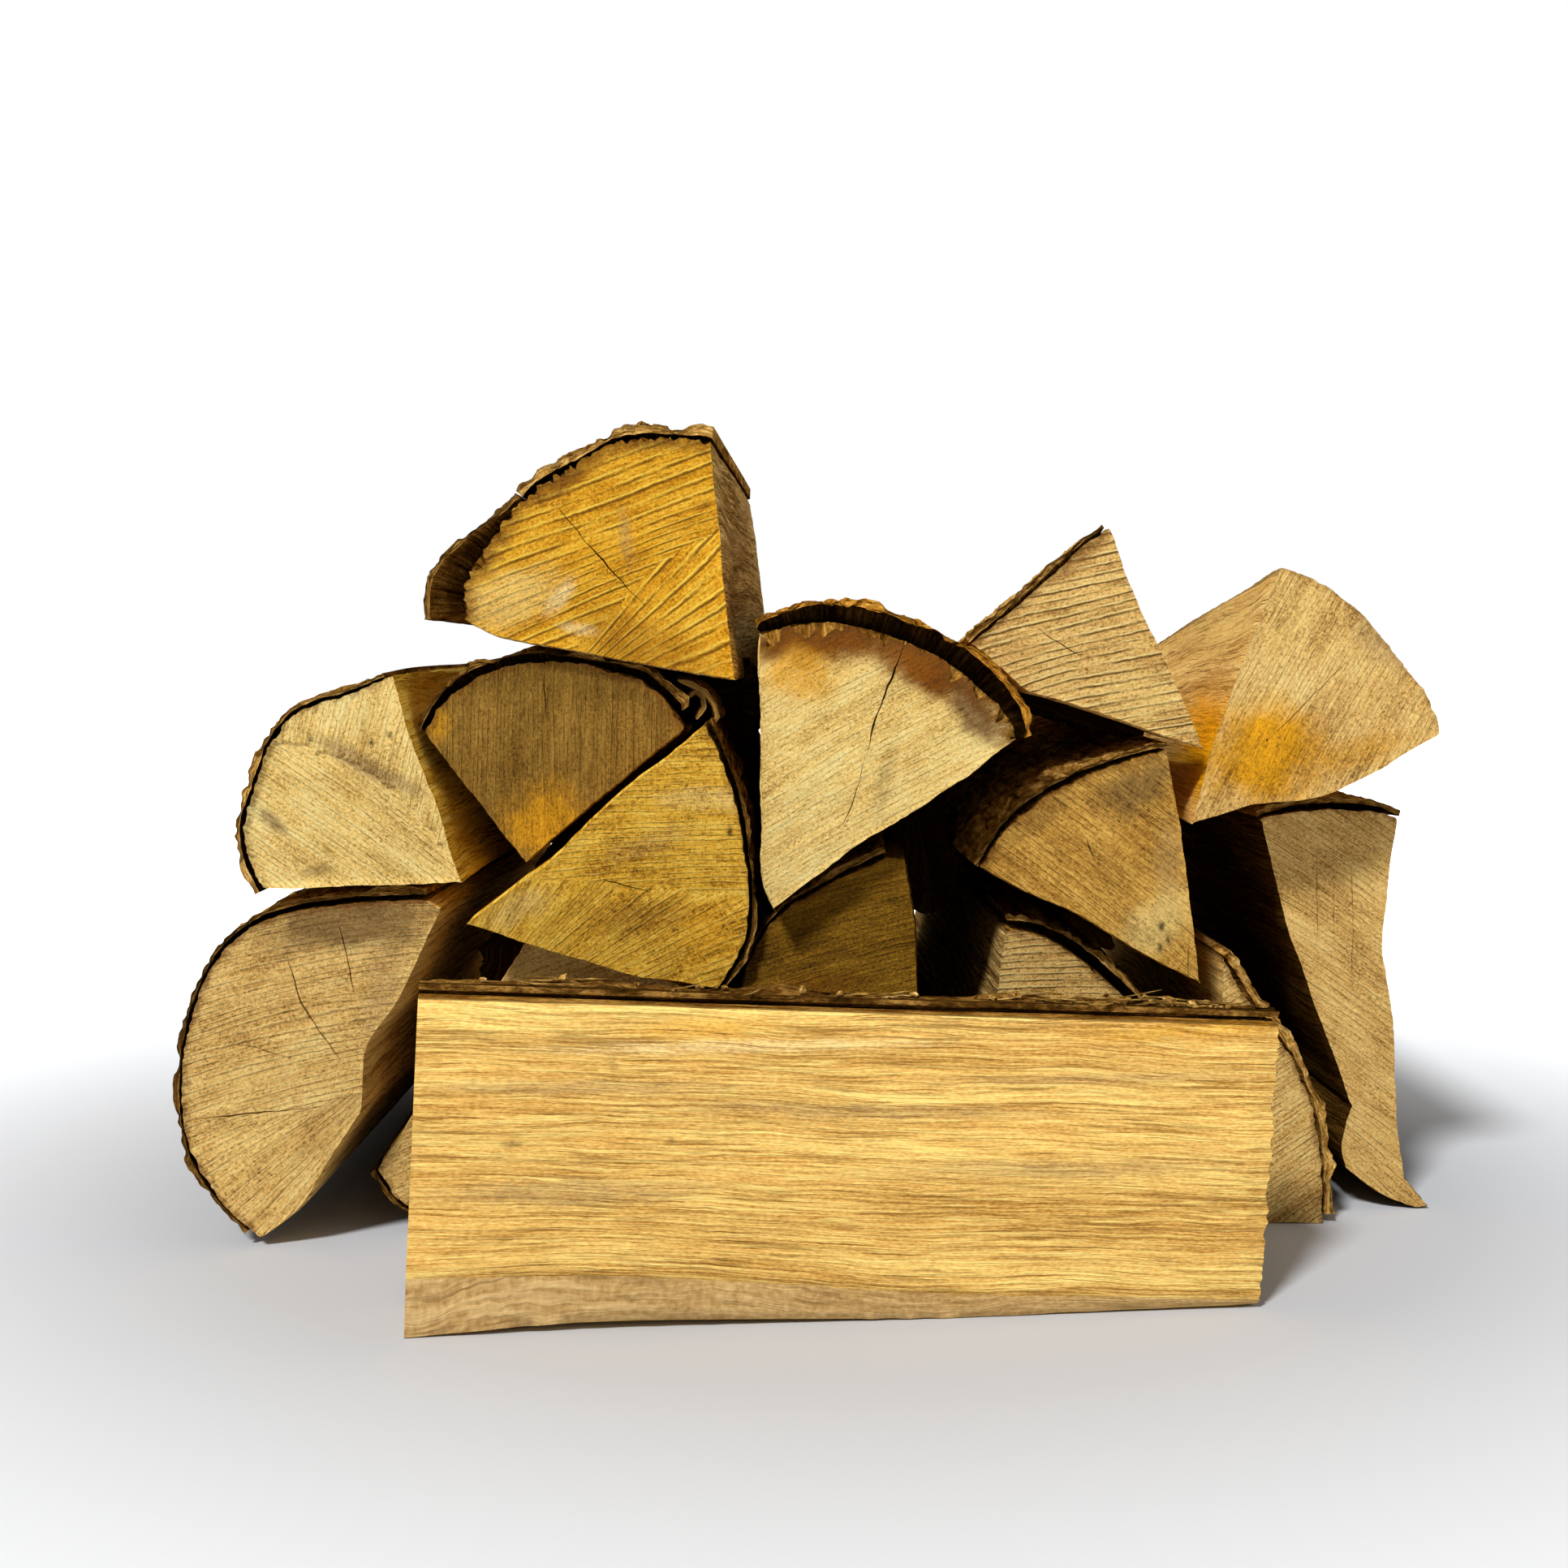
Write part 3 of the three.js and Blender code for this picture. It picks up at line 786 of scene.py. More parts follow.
def grain_colour(n, palette, parts, contrast, dark_share):
    """The palette's colours over the weighted mean of noises, from (noise, weight) pairs. Gives the
    colour, how light it is, the palette's lightest tone, and its darkest tone by a share."""
    whole = sum(weight for _, weight in parts)
    total = 0.0
    for value, weight in parts:
        total = n.math("MULTIPLY_ADD", value, weight / whole, total)
    stray = USUAL_STRAY * math.sqrt(sum(weight * weight for _, weight in parts)) / whole
    reach = PALETTE_REACH * stray / contrast
    tone = n.spread(total, 0.5 - reach, 0.5 + reach)
    dark, middle, light = (linear(seen) for seen in PALETTES[palette])
    colour = n.ramp(tone, [(0.0, dark), (0.5, middle), (1.0, light)])
    return colour, tone, light, [channel * dark_share for channel in dark]


def with_stain_and_painted_light(n, colour, tone, grain):
    """Lays the stains, and the painted shade and light, over a colour, with the grain's light and dark
    showing through.
    """
    stain_and_painted_light = n.add("Attribute", attribute_name="stain_and_painted_light")
    cover = stain_and_painted_light.outputs["Alpha"]
    patchy = n.math("MULTIPLY_ADD", n.noise(grain, (5, 3, 9), 5.0, 0.78), 5.0, -2.5)
    edge = n.math("MULTIPLY", cover, n.math("SUBTRACT", 1.0, cover))
    cover = n.math("MULTIPLY_ADD", patchy, edge, cover, clamp=True)
    shade = n.ramp(tone, STAIN_SHADES)
    return n.mix(cover, colour, n.mix(1.0, stain_and_painted_light.outputs["Color"], shade, "MULTIPLY"))


def trembled(n, grain, along, across, reach):
    """Grain places that wander sideways by up to reach."""
    wander = n.noise(grain, (along, across, DEEP), 2.0, 0.6)
    side = n.math("MULTIPLY_ADD", wander, 4 * reach, -2 * reach)
    shift = n.add("CombineXYZ", {"Y": side}).outputs[0]
    return n.add("VectorMath", {0: grain, 1: shift}, operation="ADD").outputs[0]


def end_material(name, palette, streak=1.0, apart=2.2, rust=0.6, rust_width=3.0, highlight_paint=0.5, ridge=0.35):
    """A sawn end: rows of torn fibre ends (streak) with highlights painted on their crests, saw marks (ridge)
    that lie apart from each other, each drawn with a painted highlight on its lip and a painted shadow in its
    cut, and a rusty rim."""
    n = Nodes(name)
    grain = n.attribute("grain")
    waved = trembled(n, trembled(n, grain, 70, 24, 0.8), 5, 3, 0.2)
    broad = n.noise(grain, (32, 19, DEEP), 3.0, 0.62)
    bands = n.noise(waved, (60, 3.4, DEEP), 2.0, 0.6)
    rows = n.noise(waved, (10, 0.95, DEEP), 3.0, 0.65)
    teeth = n.noise(waved, (0.5, 2.6, DEEP), 2.0, 0.6)
    grit = n.noise(grain, (1.5, 1.0, DEEP), 4.0, 0.78)
    parts = [(broad, 0.75), (bands, 0.5 * streak), (rows, 0.65 * streak), (teeth, 0.45), (grit, 1.15)]
    colour, tone, light, dark = grain_colour(n, palette, parts, 1.1, 0.45)
    over = n.add("SeparateXYZ", {0: waved}).outputs["Y"]
    wander = n.math("MULTIPLY", n.noise(grain, (150, apart * 8, DEEP), 1.0), 3.2)
    phase = n.math("FRACT", n.math("MULTIPLY_ADD", over, 1 / apart, wander))
    patchy = n.spread(n.noise(grain, (26, apart * 1.5, DEEP), 3.0, 0.65), 0.36, 0.54)
    shown = n.math("MULTIPLY", patchy, ridge)
    # painted shade and light of the saw marks: a dark line in each cut and a bright line on each lip, beside
    # their bumps
    cut = n.math("MULTIPLY", n.band(phase, 0.05, 0.22), shown)
    lip_highlight = n.math("MULTIPLY", n.band(phase, 0.26, 0.26), shown)
    # painted highlights: bright flecks laid where the grit and the bands peak, standing for sunlit crests
    painted_highlights = n.math("MULTIPLY", n.spread(grit, 0.53, 0.62), n.spread(bands, 0.4, 0.6))
    colour = n.lay(colour, light, painted_highlights, highlight_paint)
    colour = n.mix(lip_highlight, colour, light)
    colour = n.mix(cut, colour, dark)
    colour = with_stain_and_painted_light(n, colour, tone, grain)
    rim = n.math("MULTIPLY_ADD", n.noise(grain, (5, 4, DEEP), 4.0, 0.75), -14.0, n.attribute("rim", "Fac"))
    mottled = n.mix(n.spread(grit, 0.38, 0.6), linear(TONES["umber"]), linear(TONES["rust"]))
    colour = n.lay(colour, mottled, n.below(rim, -7.0, rust_width - 7.0), rust)
    colour = n.lay(colour, dark, n.below(grit, 0.34, 0.42), 0.5)
    n.paint(colour, 0.6, 0.12)
    marked = n.math("MULTIPLY_ADD", n.math("SUBTRACT", lip_highlight, cut), 0.6, bands)
    n.bump((marked, 1.0, 1.0), (rows, 0.9, 1.0), (teeth, 0.35, 0.8), (grit, 1.5, 1.0))
    return n.material


def split_material(name, palette, streak=1.0, glow=0.0):
    """A split face: long torn fibres (streak), a little waved, with darker and lighter bands along
    them, painted shadow and highlight lines beside their ridges, and warm patches (glow)."""
    n = Nodes(name)
    grain = n.attribute("grain")
    waved = trembled(n, trembled(n, grain, 120, 40, 2.6), 14, 4, 0.3)
    bands = n.noise(waved, (190, 16, 30), 2.0, 0.6)
    fibres = n.noise(waved, (38, 0.9, 30), 3.0, 0.6)
    lines = n.noise(waved, (120, 2.3, 30), 2.0, 0.55)
    threads = n.noise(waved, (16, 0.32, 30), 2.0, 0.6)
    specks = n.noise(grain, (2.2, 0.7, 30), 2.0, 0.6)
    parts = [(bands, 0.7), (lines, 0.25), (fibres, 0.75 * streak), (threads, 0.65 * streak), (specks, 0.8)]
    colour, tone, light, dark = grain_colour(n, palette, parts, 0.95, 0.5)
    colour = n.lay(colour, dark, n.below(fibres, 0.3, 0.38), 0.6 * streak)
    colour = n.lay(colour, light, n.spread(fibres, 0.58, 0.7), 0.5 * streak)
    patchy = n.spread(n.noise(grain, (60, 9, 30), 3.0, 0.6), 0.36, 0.56)
    # painted shade and light along the fibre lines: a dark line on one side of each ridge and a bright line
    # on the other
    cut = n.math("MULTIPLY", n.band(lines, 0.4, 0.07), n.math("MULTIPLY", patchy, 0.55 * streak))
    lip_highlight = n.math("MULTIPLY", n.band(lines, 0.53, 0.07), n.math("MULTIPLY", patchy, 0.6 * streak))
    colour = n.mix(lip_highlight, colour, light)
    colour = n.mix(cut, colour, dark)
    warm = n.spread(n.noise(grain, (70, 30, 30), 2.0), 0.5, 0.66)
    colour = n.lay(colour, linear(TONES["amber"]), warm, glow)
    colour = with_stain_and_painted_light(n, colour, tone, grain)
    n.paint(colour, 0.6)
    marked = n.math("MULTIPLY_ADD", n.math("SUBTRACT", lip_highlight, cut), 0.3, bands)
    n.bump((marked, 2.0, 0.6), (fibres, 0.8, 0.9), (threads, 0.35, 0.8))
    return n.material


# Sizes of each kind of bark surface: its ridges along and across the log, and its knobs
BARK_GRAIN = {
    "rind": (60, 3.2, 12), "outside": (30, 4.0, 7), "inside": (70, 1.6, 14), "layers": (9, 1.0, 3.5),
    "scrap": (20, 3.0, 5), "torn": (7, 0.9, 3), "crumb": (9, 1.2, 3),
}


def bark_material(name, palette, kind):
    """Bark: ridges along the log and knobs, with dark clefts between."""
    along, across, lumps = BARK_GRAIN[kind]
    n = Nodes(name)
    grain = n.attribute("grain")
    waved = trembled(n, grain, along * 0.6, across * 2, across * 0.5)
    ridges = n.noise(waved, (along, across, 30), 3.0, 0.6)
    knobs = n.noise(grain, (lumps * 1.6, lumps, 30), 3.0, 0.65)
    fine = n.noise(waved, (2.6, 0.8, 30), 3.0, 0.7)
    parts = [(ridges, 1.0), (knobs, 0.9), (fine, 0.8)]
    colour, tone, _, dark = grain_colour(n, palette, parts, 1.15, 0.4)
    colour = n.lay(colour, dark, n.below(ridges, 0.32, 0.42), 0.7)
    colour = with_stain_and_painted_light(n, colour, tone, grain)
    n.paint(colour, 0.85)
    n.bump((ridges, 2.4, 0.9), (knobs, 2.2, 0.8), (fine, 0.8, 1.0))
    return n.material


# Wood billets

# Relief of the long sides: each a size along, across and apart, and a depth. The wood is rebuilt a
# little proud of its solid, except near its ends and edges.
FIBRE = {"cell": (62, 2.6, 40), "depth": 0.5}
WAVE = {"cell": (120, 17, 60), "depth": 1.2}
PROUD = {"split": 0.85, "back": 0.5, "end_fades": (0, 9), "edge_fades": (0, 4)}
RIB = {"cell": (75, 5, 40), "depth": 0.8}
CHIP = {"cell": (14, 5.5, 40), "fades": (3, 13)}
EDGE_WEAR = {"cell": 7.0, "depth": 0.6, "fades": (0, 2.2)}
# Torn ends: the size of their teeth, how deep the teeth are on bark, and how far back they fade
TORN = {"cell": (9, 5, 9), "bark": 2.6, "fades": (2, 26)}
BILLET_SEED = 100
BACK_SEED = 50

# How far the saw marks of a rear end are turned from the front's, and how they bow
BACK_TURN = 20
BACK_BOW = -1.0


def billet_sides(rings):
    """Where the sides of a billet's rings start: the rind, then each split face."""
    sharp = turns(rings[0])
    return [0] + [i for i in range(RIND - 1, rings.shape[1]) if i == RIND - 1 or sharp[i] > CORNER]


def towards(look):
    """The direction in which a piece's front end faces, roughly."""
    return np.array(look.get("front", TO_VIEWER), float)


def fine_rows(rings, facing, look):
    """How deep each ring of a piece lies behind its front end, and the depths of its fine rows."""
    depth = -(rings @ facing).mean(axis=1)
    depth -= depth[0]
    return depth, stations(depth[-1], *look.get("length_steps", (NEAR_STEP, MIDDLE_STEP, FAR_STEP)))


def grid_places(depth_at, around, seed):
    """The length along and round a piece at each point of its grid."""
    shape = (len(depth_at), len(around))
    return np.stack([np.broadcast_to(depth_at[:, None], shape), np.broadcast_to(around[None], shape),
                     np.full(shape, GRAIN_GAPS["side"] * seed)], axis=2)


def moved(grid, sink, facing):
    """A grid whose points have sunk, with its two ends kept in their planes."""
    shift = -outward(grid) * sink[..., None]
    shift[0] = in_plane(shift[0], facing)
    shift[-1] = in_plane(shift[-1], facing)
    return grid + shift


def torn_end(grid, places, depth_at, facing, torn, seed):
    """Draws a piece's front end back in teeth, and keeps the piece above the ground."""
    teeth = torn * rough_share(places[0], TORN["cell"], seed + 7)
    fade = 1 - smooth(depth_at, *TORN["fades"])
    grid = grid - (fade[:, None] * teeth[None])[..., None] * facing
    grid[..., 2] = np.maximum(grid[..., 2], 0.0)
    return grid


def wear(grid, places, sides, edge, facing, seed, ragged):
    """Sinks the surface between its fibres, and chips its edges."""
    away = places[..., 0]
    split = relief(places, FIBRE, seed) + relief(places, WAVE, seed + 1)
    split = split - PROUD["split"] * smooth(away, *PROUD["end_fades"]) * smooth(edge, *PROUD["edge_fades"])
    chips = ragged * np.abs(rough(places, CHIP["cell"], seed + 3)) * (1 - smooth(away, *CHIP["fades"]))
    back = relief(places, RIB, seed + 2) - PROUD["back"] + chips
    worn = relief(places, EDGE_WEAR, seed + 4) * (1 - smooth(edge, *EDGE_WEAR["fades"]))
    return moved(grid, np.where(sides == 0, back, split) + worn, facing)


def make_billet(number, node, look):
    """A billet: its long sides from the solid's rings, and its two sawn ends."""
    seed = BILLET_SEED + number
    rings, facing = read_rings(node, towards(look))
    rings = start_at_rind(rings)
    depth, depth_at = fine_rows(rings, facing, look)
    steps = look.get("steps", [RIND_STEP, SPLIT_STEP])
    fine, around, sides, edge = refine_outline(rings, billet_sides(rings), steps)
    places = grid_places(depth_at, around, seed)
    grid = wear(through(fine, depth, depth_at), places, sides, edge, facing, seed, look.get("ragged", 1.2))
    grid = torn_end(grid, places, depth_at, facing, look.get("torn", 0.0), seed)
    rows, columns = grid.shape[:2]
    shape = Shape()
    index = shape.add_points(grid.reshape(-1, 3))
    faces = grid_faces(rows, columns)
    face_side = sides[faces[:, 0] % columns]
    finish = np.where(face_side == 0, BACK, SPLIT)
    finish = np.where(face_side == look.get("facet", -1), FACET, finish)
    stain_and_painted_light = stain_and_light_ovals_at(to_photo(grid.reshape(-1, 3)), look.get("side_stains_px", []))
    shape.add_faces(faces, index, finish, places.reshape(-1, 3), np.tile(edge, rows), stain_and_painted_light)
    is_rind = sides == 0
    step = look.get("end_step", END_STEP)
    flat_end(shape, index[:columns][::-1], grid[0][::-1], is_rind[::-1], facing, look, step, seed)
    back = {"saw_turn": look.get("saw_turn", 0) + BACK_TURN, "bow": BACK_BOW}
    flat_end(shape, index[-columns:], grid[-1], is_rind, -facing, back, BACK_END_STEP, seed + BACK_SEED)
    palette = look["palette"]
    split_palette = look.get("split_palette", palette)
    materials = [
        end_material(node + "_end", palette, *look.get("end_finish", ())),
        split_material(node + "_split", split_palette, glow=look.get("glow", 0.0)),
        bark_material(node + "_rind", look.get("rind_palette", "bark_inside"), "rind"),
        split_material(node + "_facet", look.get("facet_palette", split_palette), streak=0.7),
    ]
    shape.make(node + "_wood", materials, node)


# Bark strips

# Relief of bark: lumps and the fibrous inside as shares of its thickness, how far the largest lumps
# stand out, the crust's depth, the pits between the layers of an end, how near the edges the relief
# fades out, and the depths behind the front end over which a strip's gap to its billet is shut
BARK_SEED = 300
BARK_LUMP = {"cell": (12, 6, 40), "share": 0.6}
BARK_SWELL = {"cell": (22, 12, 40), "reach": 1.6, "fades": (-0.2, 0.8)}
BARK_CRUST = {"cell": (4.5, 2.6, 40), "depth": 0.9}
BARK_INSIDE = {"cell": (9, 4.5, 40), "share": 0.3}
BARK_PIT = {"cell": (4, 1.4, 9), "depth": 1.8}
BARK_EDGE = (-1.0, 3.0)
LAYER_APART = 1.1
SHUT_DEPTH = (9.0, 22.0)


def make_bark(number, node, look, billet):
    """A bark strip: rough outside, fibrous inside, and layered where it is cut or torn."""
    seed = BARK_SEED + number
    rings, facing = read_rings(node, towards(look))
    middle = np.mean(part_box(billet), axis=0) / MM
    if abs(facing[1]) > 0.5:
        middle[1] = rings[0, :, 1].mean()
    rings = start_at_outside(rings, middle)
    depth, depth_at = fine_rows(rings, facing, look)
    outside = np.linalg.norm(np.diff(rings[0, :RIND], axis=0), axis=1).sum()
    inside = np.linalg.norm(np.diff(rings[0, RIND:], axis=0), axis=1).sum()
    across = max(8, round(outside / BARK_STEP))
    ends = [np.linalg.norm(rings[0, a] - rings[0, b]) for a, b in ((RIND - 1, RIND), (2 * RIND - 1, 0))]
    steps = [outside / across, ends[0] / BARK_LAYERS, inside / across, ends[1] / BARK_LAYERS]
    fine, around, sides, edge = refine_outline(rings, [0, RIND - 1, RIND, 2 * RIND - 1], steps)
    places = grid_places(depth_at, around, seed)
    thick = np.linalg.norm(rings[0, :RIND] - rings[0, :RIND - 1:-1], axis=1)
    outside_thick = np.interp(around, np.linspace(0, outside, RIND), thick)
    inside_start = around[np.argmax(sides == 2)]
    way_inside = np.clip((around - inside_start) / inside, 0, 1)
    inside_thick = np.interp(1 - way_inside, np.linspace(0, 1, RIND), thick)
    lumps = BARK_LUMP["share"] * outside_thick * rough_share(places, BARK_LUMP["cell"], seed, 4)
    swollen = smooth(noise(places, BARK_SWELL["cell"], seed + 2), *BARK_SWELL["fades"])
    lumps = lumps - look.get("bulge", BARK_SWELL["reach"]) * swollen
    lumps = lumps + BARK_CRUST["depth"] * noise(places, BARK_CRUST["cell"], seed + 9)
    fibrous = BARK_INSIDE["share"] * rough_share(places, BARK_INSIDE["cell"], seed + 5)
    hollows = (look.get("parted", 0.0) + fibrous) * inside_thick
    wood_rings, _ = read_rings(billet, towards(look))
    wood = in_plane(wood_rings[0], facing)
    gap = line_distance(in_plane(rings[0, RIND:], facing), closed(wood))
    gap_at = np.interp(way_inside, np.linspace(0, 1, RIND), gap)
    shut = smooth(depth_at, *look.get("shut", SHUT_DEPTH))[:, None]
    hollows = hollows * (1 - shut) - (gap_at + PROUD["back"]) * shut
    sink = np.where((sides == 0)[None], lumps, np.where((sides == 2)[None], hollows, 0.0))
    grid = moved(through(fine, depth, depth_at), sink * smooth(edge, *BARK_EDGE)[None], facing)
    grid = torn_end(grid, places, depth_at, facing, look.get("torn", TORN["bark"]), seed)
    rows, columns = grid.shape[:2]
    shape = Shape()
    index = shape.add_points(grid.reshape(-1, 3))
    faces = grid_faces(rows, columns)
    finish = np.where(sides[faces[:, 0] % columns] == 2, INSIDE, OUTSIDE)
    shape.add_faces(faces, index, finish, places.reshape(-1, 3), np.tile(edge, rows))
    for row, back in ((0, False), (rows - 1, True)):
        bark_end(shape, index.reshape(rows, columns)[row], grid[row], across, facing, back, seed)
    materials = [
        bark_material(node + "_outside", look.get("palette", "bark"), "outside"),
        # unless a palette is given, the inside is painted near-black as the shade in the gap to the wood
        bark_material(node + "_inside", look.get("inside", "bark_in_shade"), "inside"),
        bark_material(node + "_layers", look.get("layers", "bark_cut"), "layers"),
    ]
    shape.make(node + "_skin", materials, node)


def bark_end(shape, ring_index, ring, across, facing, back, seed):
    """Closes a bark strip's end with layers from its outside to its inside."""
    layer_rows = BARK_LAYERS + 1
    local = np.full((layer_rows, across + 1), -1)
    local[0] = np.arange(across + 1)
    local[-1] = np.arange(across + BARK_LAYERS, across + BARK_LAYERS + across + 1)[::-1]
    for layer in range(1, BARK_LAYERS):
        local[layer, -1] = across + layer
        local[layer, 0] = (len(ring) - layer) % len(ring)
    index = ring_index[np.maximum(local, 0)]
    places = ring[np.maximum(local, 0)]
    share = (np.arange(layer_rows) / BARK_LAYERS)[:, None, None]
    blend = places[0][None] * (1 - share) + places[-1][None] * share
    inside = local < 0
    run = np.linalg.norm(np.diff(places[0], axis=0), axis=1)
    distance = np.broadcast_to(np.concatenate([[0], np.cumsum(run)]), inside.shape)
    layer = np.broadcast_to(np.arange(layer_rows)[:, None] * LAYER_APART, inside.shape)
    grain = np.stack([distance, layer, np.full(inside.shape, GRAIN_GAPS["layer"] * seed)], axis=2)
    pit = BARK_PIT["depth"] * rough_share(grain, BARK_PIT["cell"], seed)
    away = -facing if back else facing
    index[inside] = shape.add_points((blend - pit[..., None] * away)[inside])
    faces = grid_faces(layer_rows, across + 1, looped=False)
    if not back:
        faces = faces[:, ::-1]
    shape.add_faces(faces, index.ravel(), LAYERS, grain.reshape(-1, 3), np.zeros(index.size))


# Scraps of bark that have curled off, dark plugs of bark that paint the shade in the gaps, and crumbs and
# fibres that have fallen

# A scrap: the steps along and across it, how thin its tips are, its lumps, its torn end, and how far
# it drifts sideways on its way back
SCRAP_SEED = 500
SCRAP_STEP = 3.0
SCRAP_LINE_STEP = 1.0
SCRAP_TIP = 0.35
SCRAP_LUMP = {"cell": (5, 5, 9), "share": 0.5}
SCRAP_TORN = {"cell": 4.0, "depth": 1.6}
SCRAP_DRIFT = {"waves": (17, 13), "most": 1.5, "slope": 0.08}
# A curled scrap keeps bark colours; a shade plug is near-black all over, painted as the shade in the gap it
# fills
SCRAP_TONES = {"scrap": ("bark_cut", "bark_lit"), "shade_plug": ("bark_in_shade", "bark_in_shade")}


def curled_scrap(line_px, depth, length, thick, seed):
    """A bark scrap: the line that its end shows in the photograph, carried back from depth."""
    line = from_photo(line_px, np.array([0.0, depth, 0.0]), np.array(TO_VIEWER, float))[:, [0, 2]]
    fine, aside = finer_line(line, SCRAP_LINE_STEP)
    share = np.linspace(0, 1, len(fine))
    taper = np.minimum(1, SCRAP_TIP + 4 * np.minimum(share, 1 - share))
    side_wave, up_wave = SCRAP_DRIFT["waves"]
    rows = []
    for way in np.arange(0, length, SCRAP_STEP):
        places = np.concatenate([fine, np.full((len(fine), 1), depth + way)], axis=1)
        lumpy = 1 + SCRAP_LUMP["share"] * rough(places, SCRAP_LUMP["cell"], seed)
        half = aside * (thick / 2 * taper * lumpy)[:, None]
        drift = np.array([math.sin(way / side_wave + seed), math.cos(way / up_wave + seed)])
        drift = drift * min(SCRAP_DRIFT["most"], way * SCRAP_DRIFT["slope"])
        ring = np.concatenate([fine + half + drift, (fine - half + drift)[::-1]])
        start = depth + way + SCRAP_TORN["depth"] * rough(on_level(ring), SCRAP_TORN["cell"], seed + 1)
        rows.append(np.stack([ring[:, 0], start, ring[:, 1]], axis=1))
    return np.array(rows)


def add_scrap(shape, grid, seed):
    """Adds a scrap's grid of points to a shape, with faces over its two ends."""
    rows, columns = grid.shape[:2]
    along = np.repeat(np.arange(rows) * SCRAP_STEP, columns)
    around = np.tile(np.arange(columns) * SCRAP_LINE_STEP, rows)
    grain = np.stack([along, around, np.full(rows * columns, GRAIN_GAPS["scrap"] * seed)], axis=1)
    index = shape.add_points(grid.reshape(-1, 3))
    none = np.zeros(rows * columns)
    faces = grid_faces(rows, columns)
    middle = grid.mean(axis=1, keepdims=True)
    away = np.sum(np.cross(grid[1, 1:] - grid[0, 1:], grid[0, :-1] - grid[0, 1:]) * (grid[0] - middle[0])[1:])
    if away < 0:
        faces = faces[:, ::-1]
    shape.add_faces(faces, index, OUTSIDE, grain, none)
    half = columns // 2
    strip = np.arange(half - 1)
    front = np.stack([strip, strip + 1, columns - 2 - strip, columns - 1 - strip], axis=1)
    if away > 0:
        front = front[:, ::-1]
    shape.add_faces(front, index, INSIDE, grain, none)
    shape.add_faces(front[:, ::-1] + (rows - 1) * columns, index, INSIDE, grain, none)


def make_scraps():
    """The curled scraps, and the dark plugs of bark that stand for the shade in the gaps, each at its place
    in the photograph.
    """
    for number, (name, (line_px, depth, length, thick)) in enumerate(SCRAPS.items()):
        seed = SCRAP_SEED + number
        shape = Shape()
        add_scrap(shape, curled_scrap(line_px, front_depth + depth, length, thick, seed), seed)
        outside, layers = SCRAP_TONES["shade_plug" if "shade_plug" in name else "scrap"]
        materials = [bark_material(name + "_outside", outside, "scrap"),
                     bark_material(name + "_layers", layers, "torn")]
        shape.make(name, materials, None)


# Crumbs and fibres on the front billet: how many, the share of fibres, how far back they lie, where
# they heap up along the billet from its left end (middle and spread), the sizes of both kinds and how
# far they turn and tilt. A crumb's width is a share of its length. FRONT_CORNER is the front corner of
# the billet's left end as seen from above, and FRONT_TURN is how far the billet is turned.
FRONT_CORNER = (-154.9, -255.8)
FRONT_TURN = math.radians(7.6)
ABOVE_ALL = 400.0
CRUMBS = {
    "seed": 12, "first_seed": 600, "count": 120, "fibres": 0.4, "depth": (1.0, 14.0),
    "heaps": [(285, 12), (300, 10), (255, 22), (200, 40), (60, 50)],
    "fibre": {"length": (6, 26), "wide": (0.35, 0.7), "turn": 0.35, "tilt": 0.12},
    "crumb": {"length": (1.5, 4.5), "wide": (0.3, 0.5), "turn": 1.5, "tilt": 0.3},
}
# One crumb's grid, how far it bends, its thin tips, its rough sides, how flat it lies and how high
CRUMB_SIDES = 7
CRUMB_RINGS = 7
CRUMB = {"bend": 0.12, "tip": 0.25, "end": 0.05, "rough": 0.25, "most": 1.5, "flat": 0.7, "lift": 0.6,
         "grain": 0.8}


def surface_of(piece):
    """The surface of a finished piece, for finding what lies under a place."""
    mesh = bpy.data.objects[piece].data
    points = [vertex.co / MM for vertex in mesh.vertices]
    return BVHTree.FromPolygons(points, [list(polygon.vertices) for polygon in mesh.polygons])


def make_crumbs():
    """Crumbs and torn fibres of bark on the billet that lies across the front."""
    surface = surface_of("front_bark_skin")
    dice = np.random.default_rng(CRUMBS["seed"])
    shape = Shape()
    sine, cosine = math.sin(FRONT_TURN), math.cos(FRONT_TURN)
    for number in range(CRUMBS["count"]):
        middle, spread = CRUMBS["heaps"][number % len(CRUMBS["heaps"])]
        run = middle + dice.normal() * spread
        depth = dice.uniform(*CRUMBS["depth"])
        above = Vector((FRONT_CORNER[0] + run * cosine - depth * sine,
                        FRONT_CORNER[1] + run * sine + depth * cosine, ABOVE_ALL))
        found, _, _, _ = surface.ray_cast(above, Vector((0, 0, -1)))
        if found is None:
            continue
        kind = "fibre" if dice.random() < CRUMBS["fibres"] else "crumb"
        size = CRUMBS[kind]
        length = dice.uniform(*size["length"])
        wide = dice.uniform(*size["wide"]) * (length if kind == "crumb" else 1)
        angle = FRONT_TURN + dice.normal() * size["turn"]
        tilt = dice.normal() * size["tilt"]
        add_crumb(shape, np.array(found), length, wide, angle, tilt, dice, CRUMBS["first_seed"] + number)
    shape.make("bark_crumbs", [bark_material("crumbs_outside", "bark_lit", "crumb")], None)


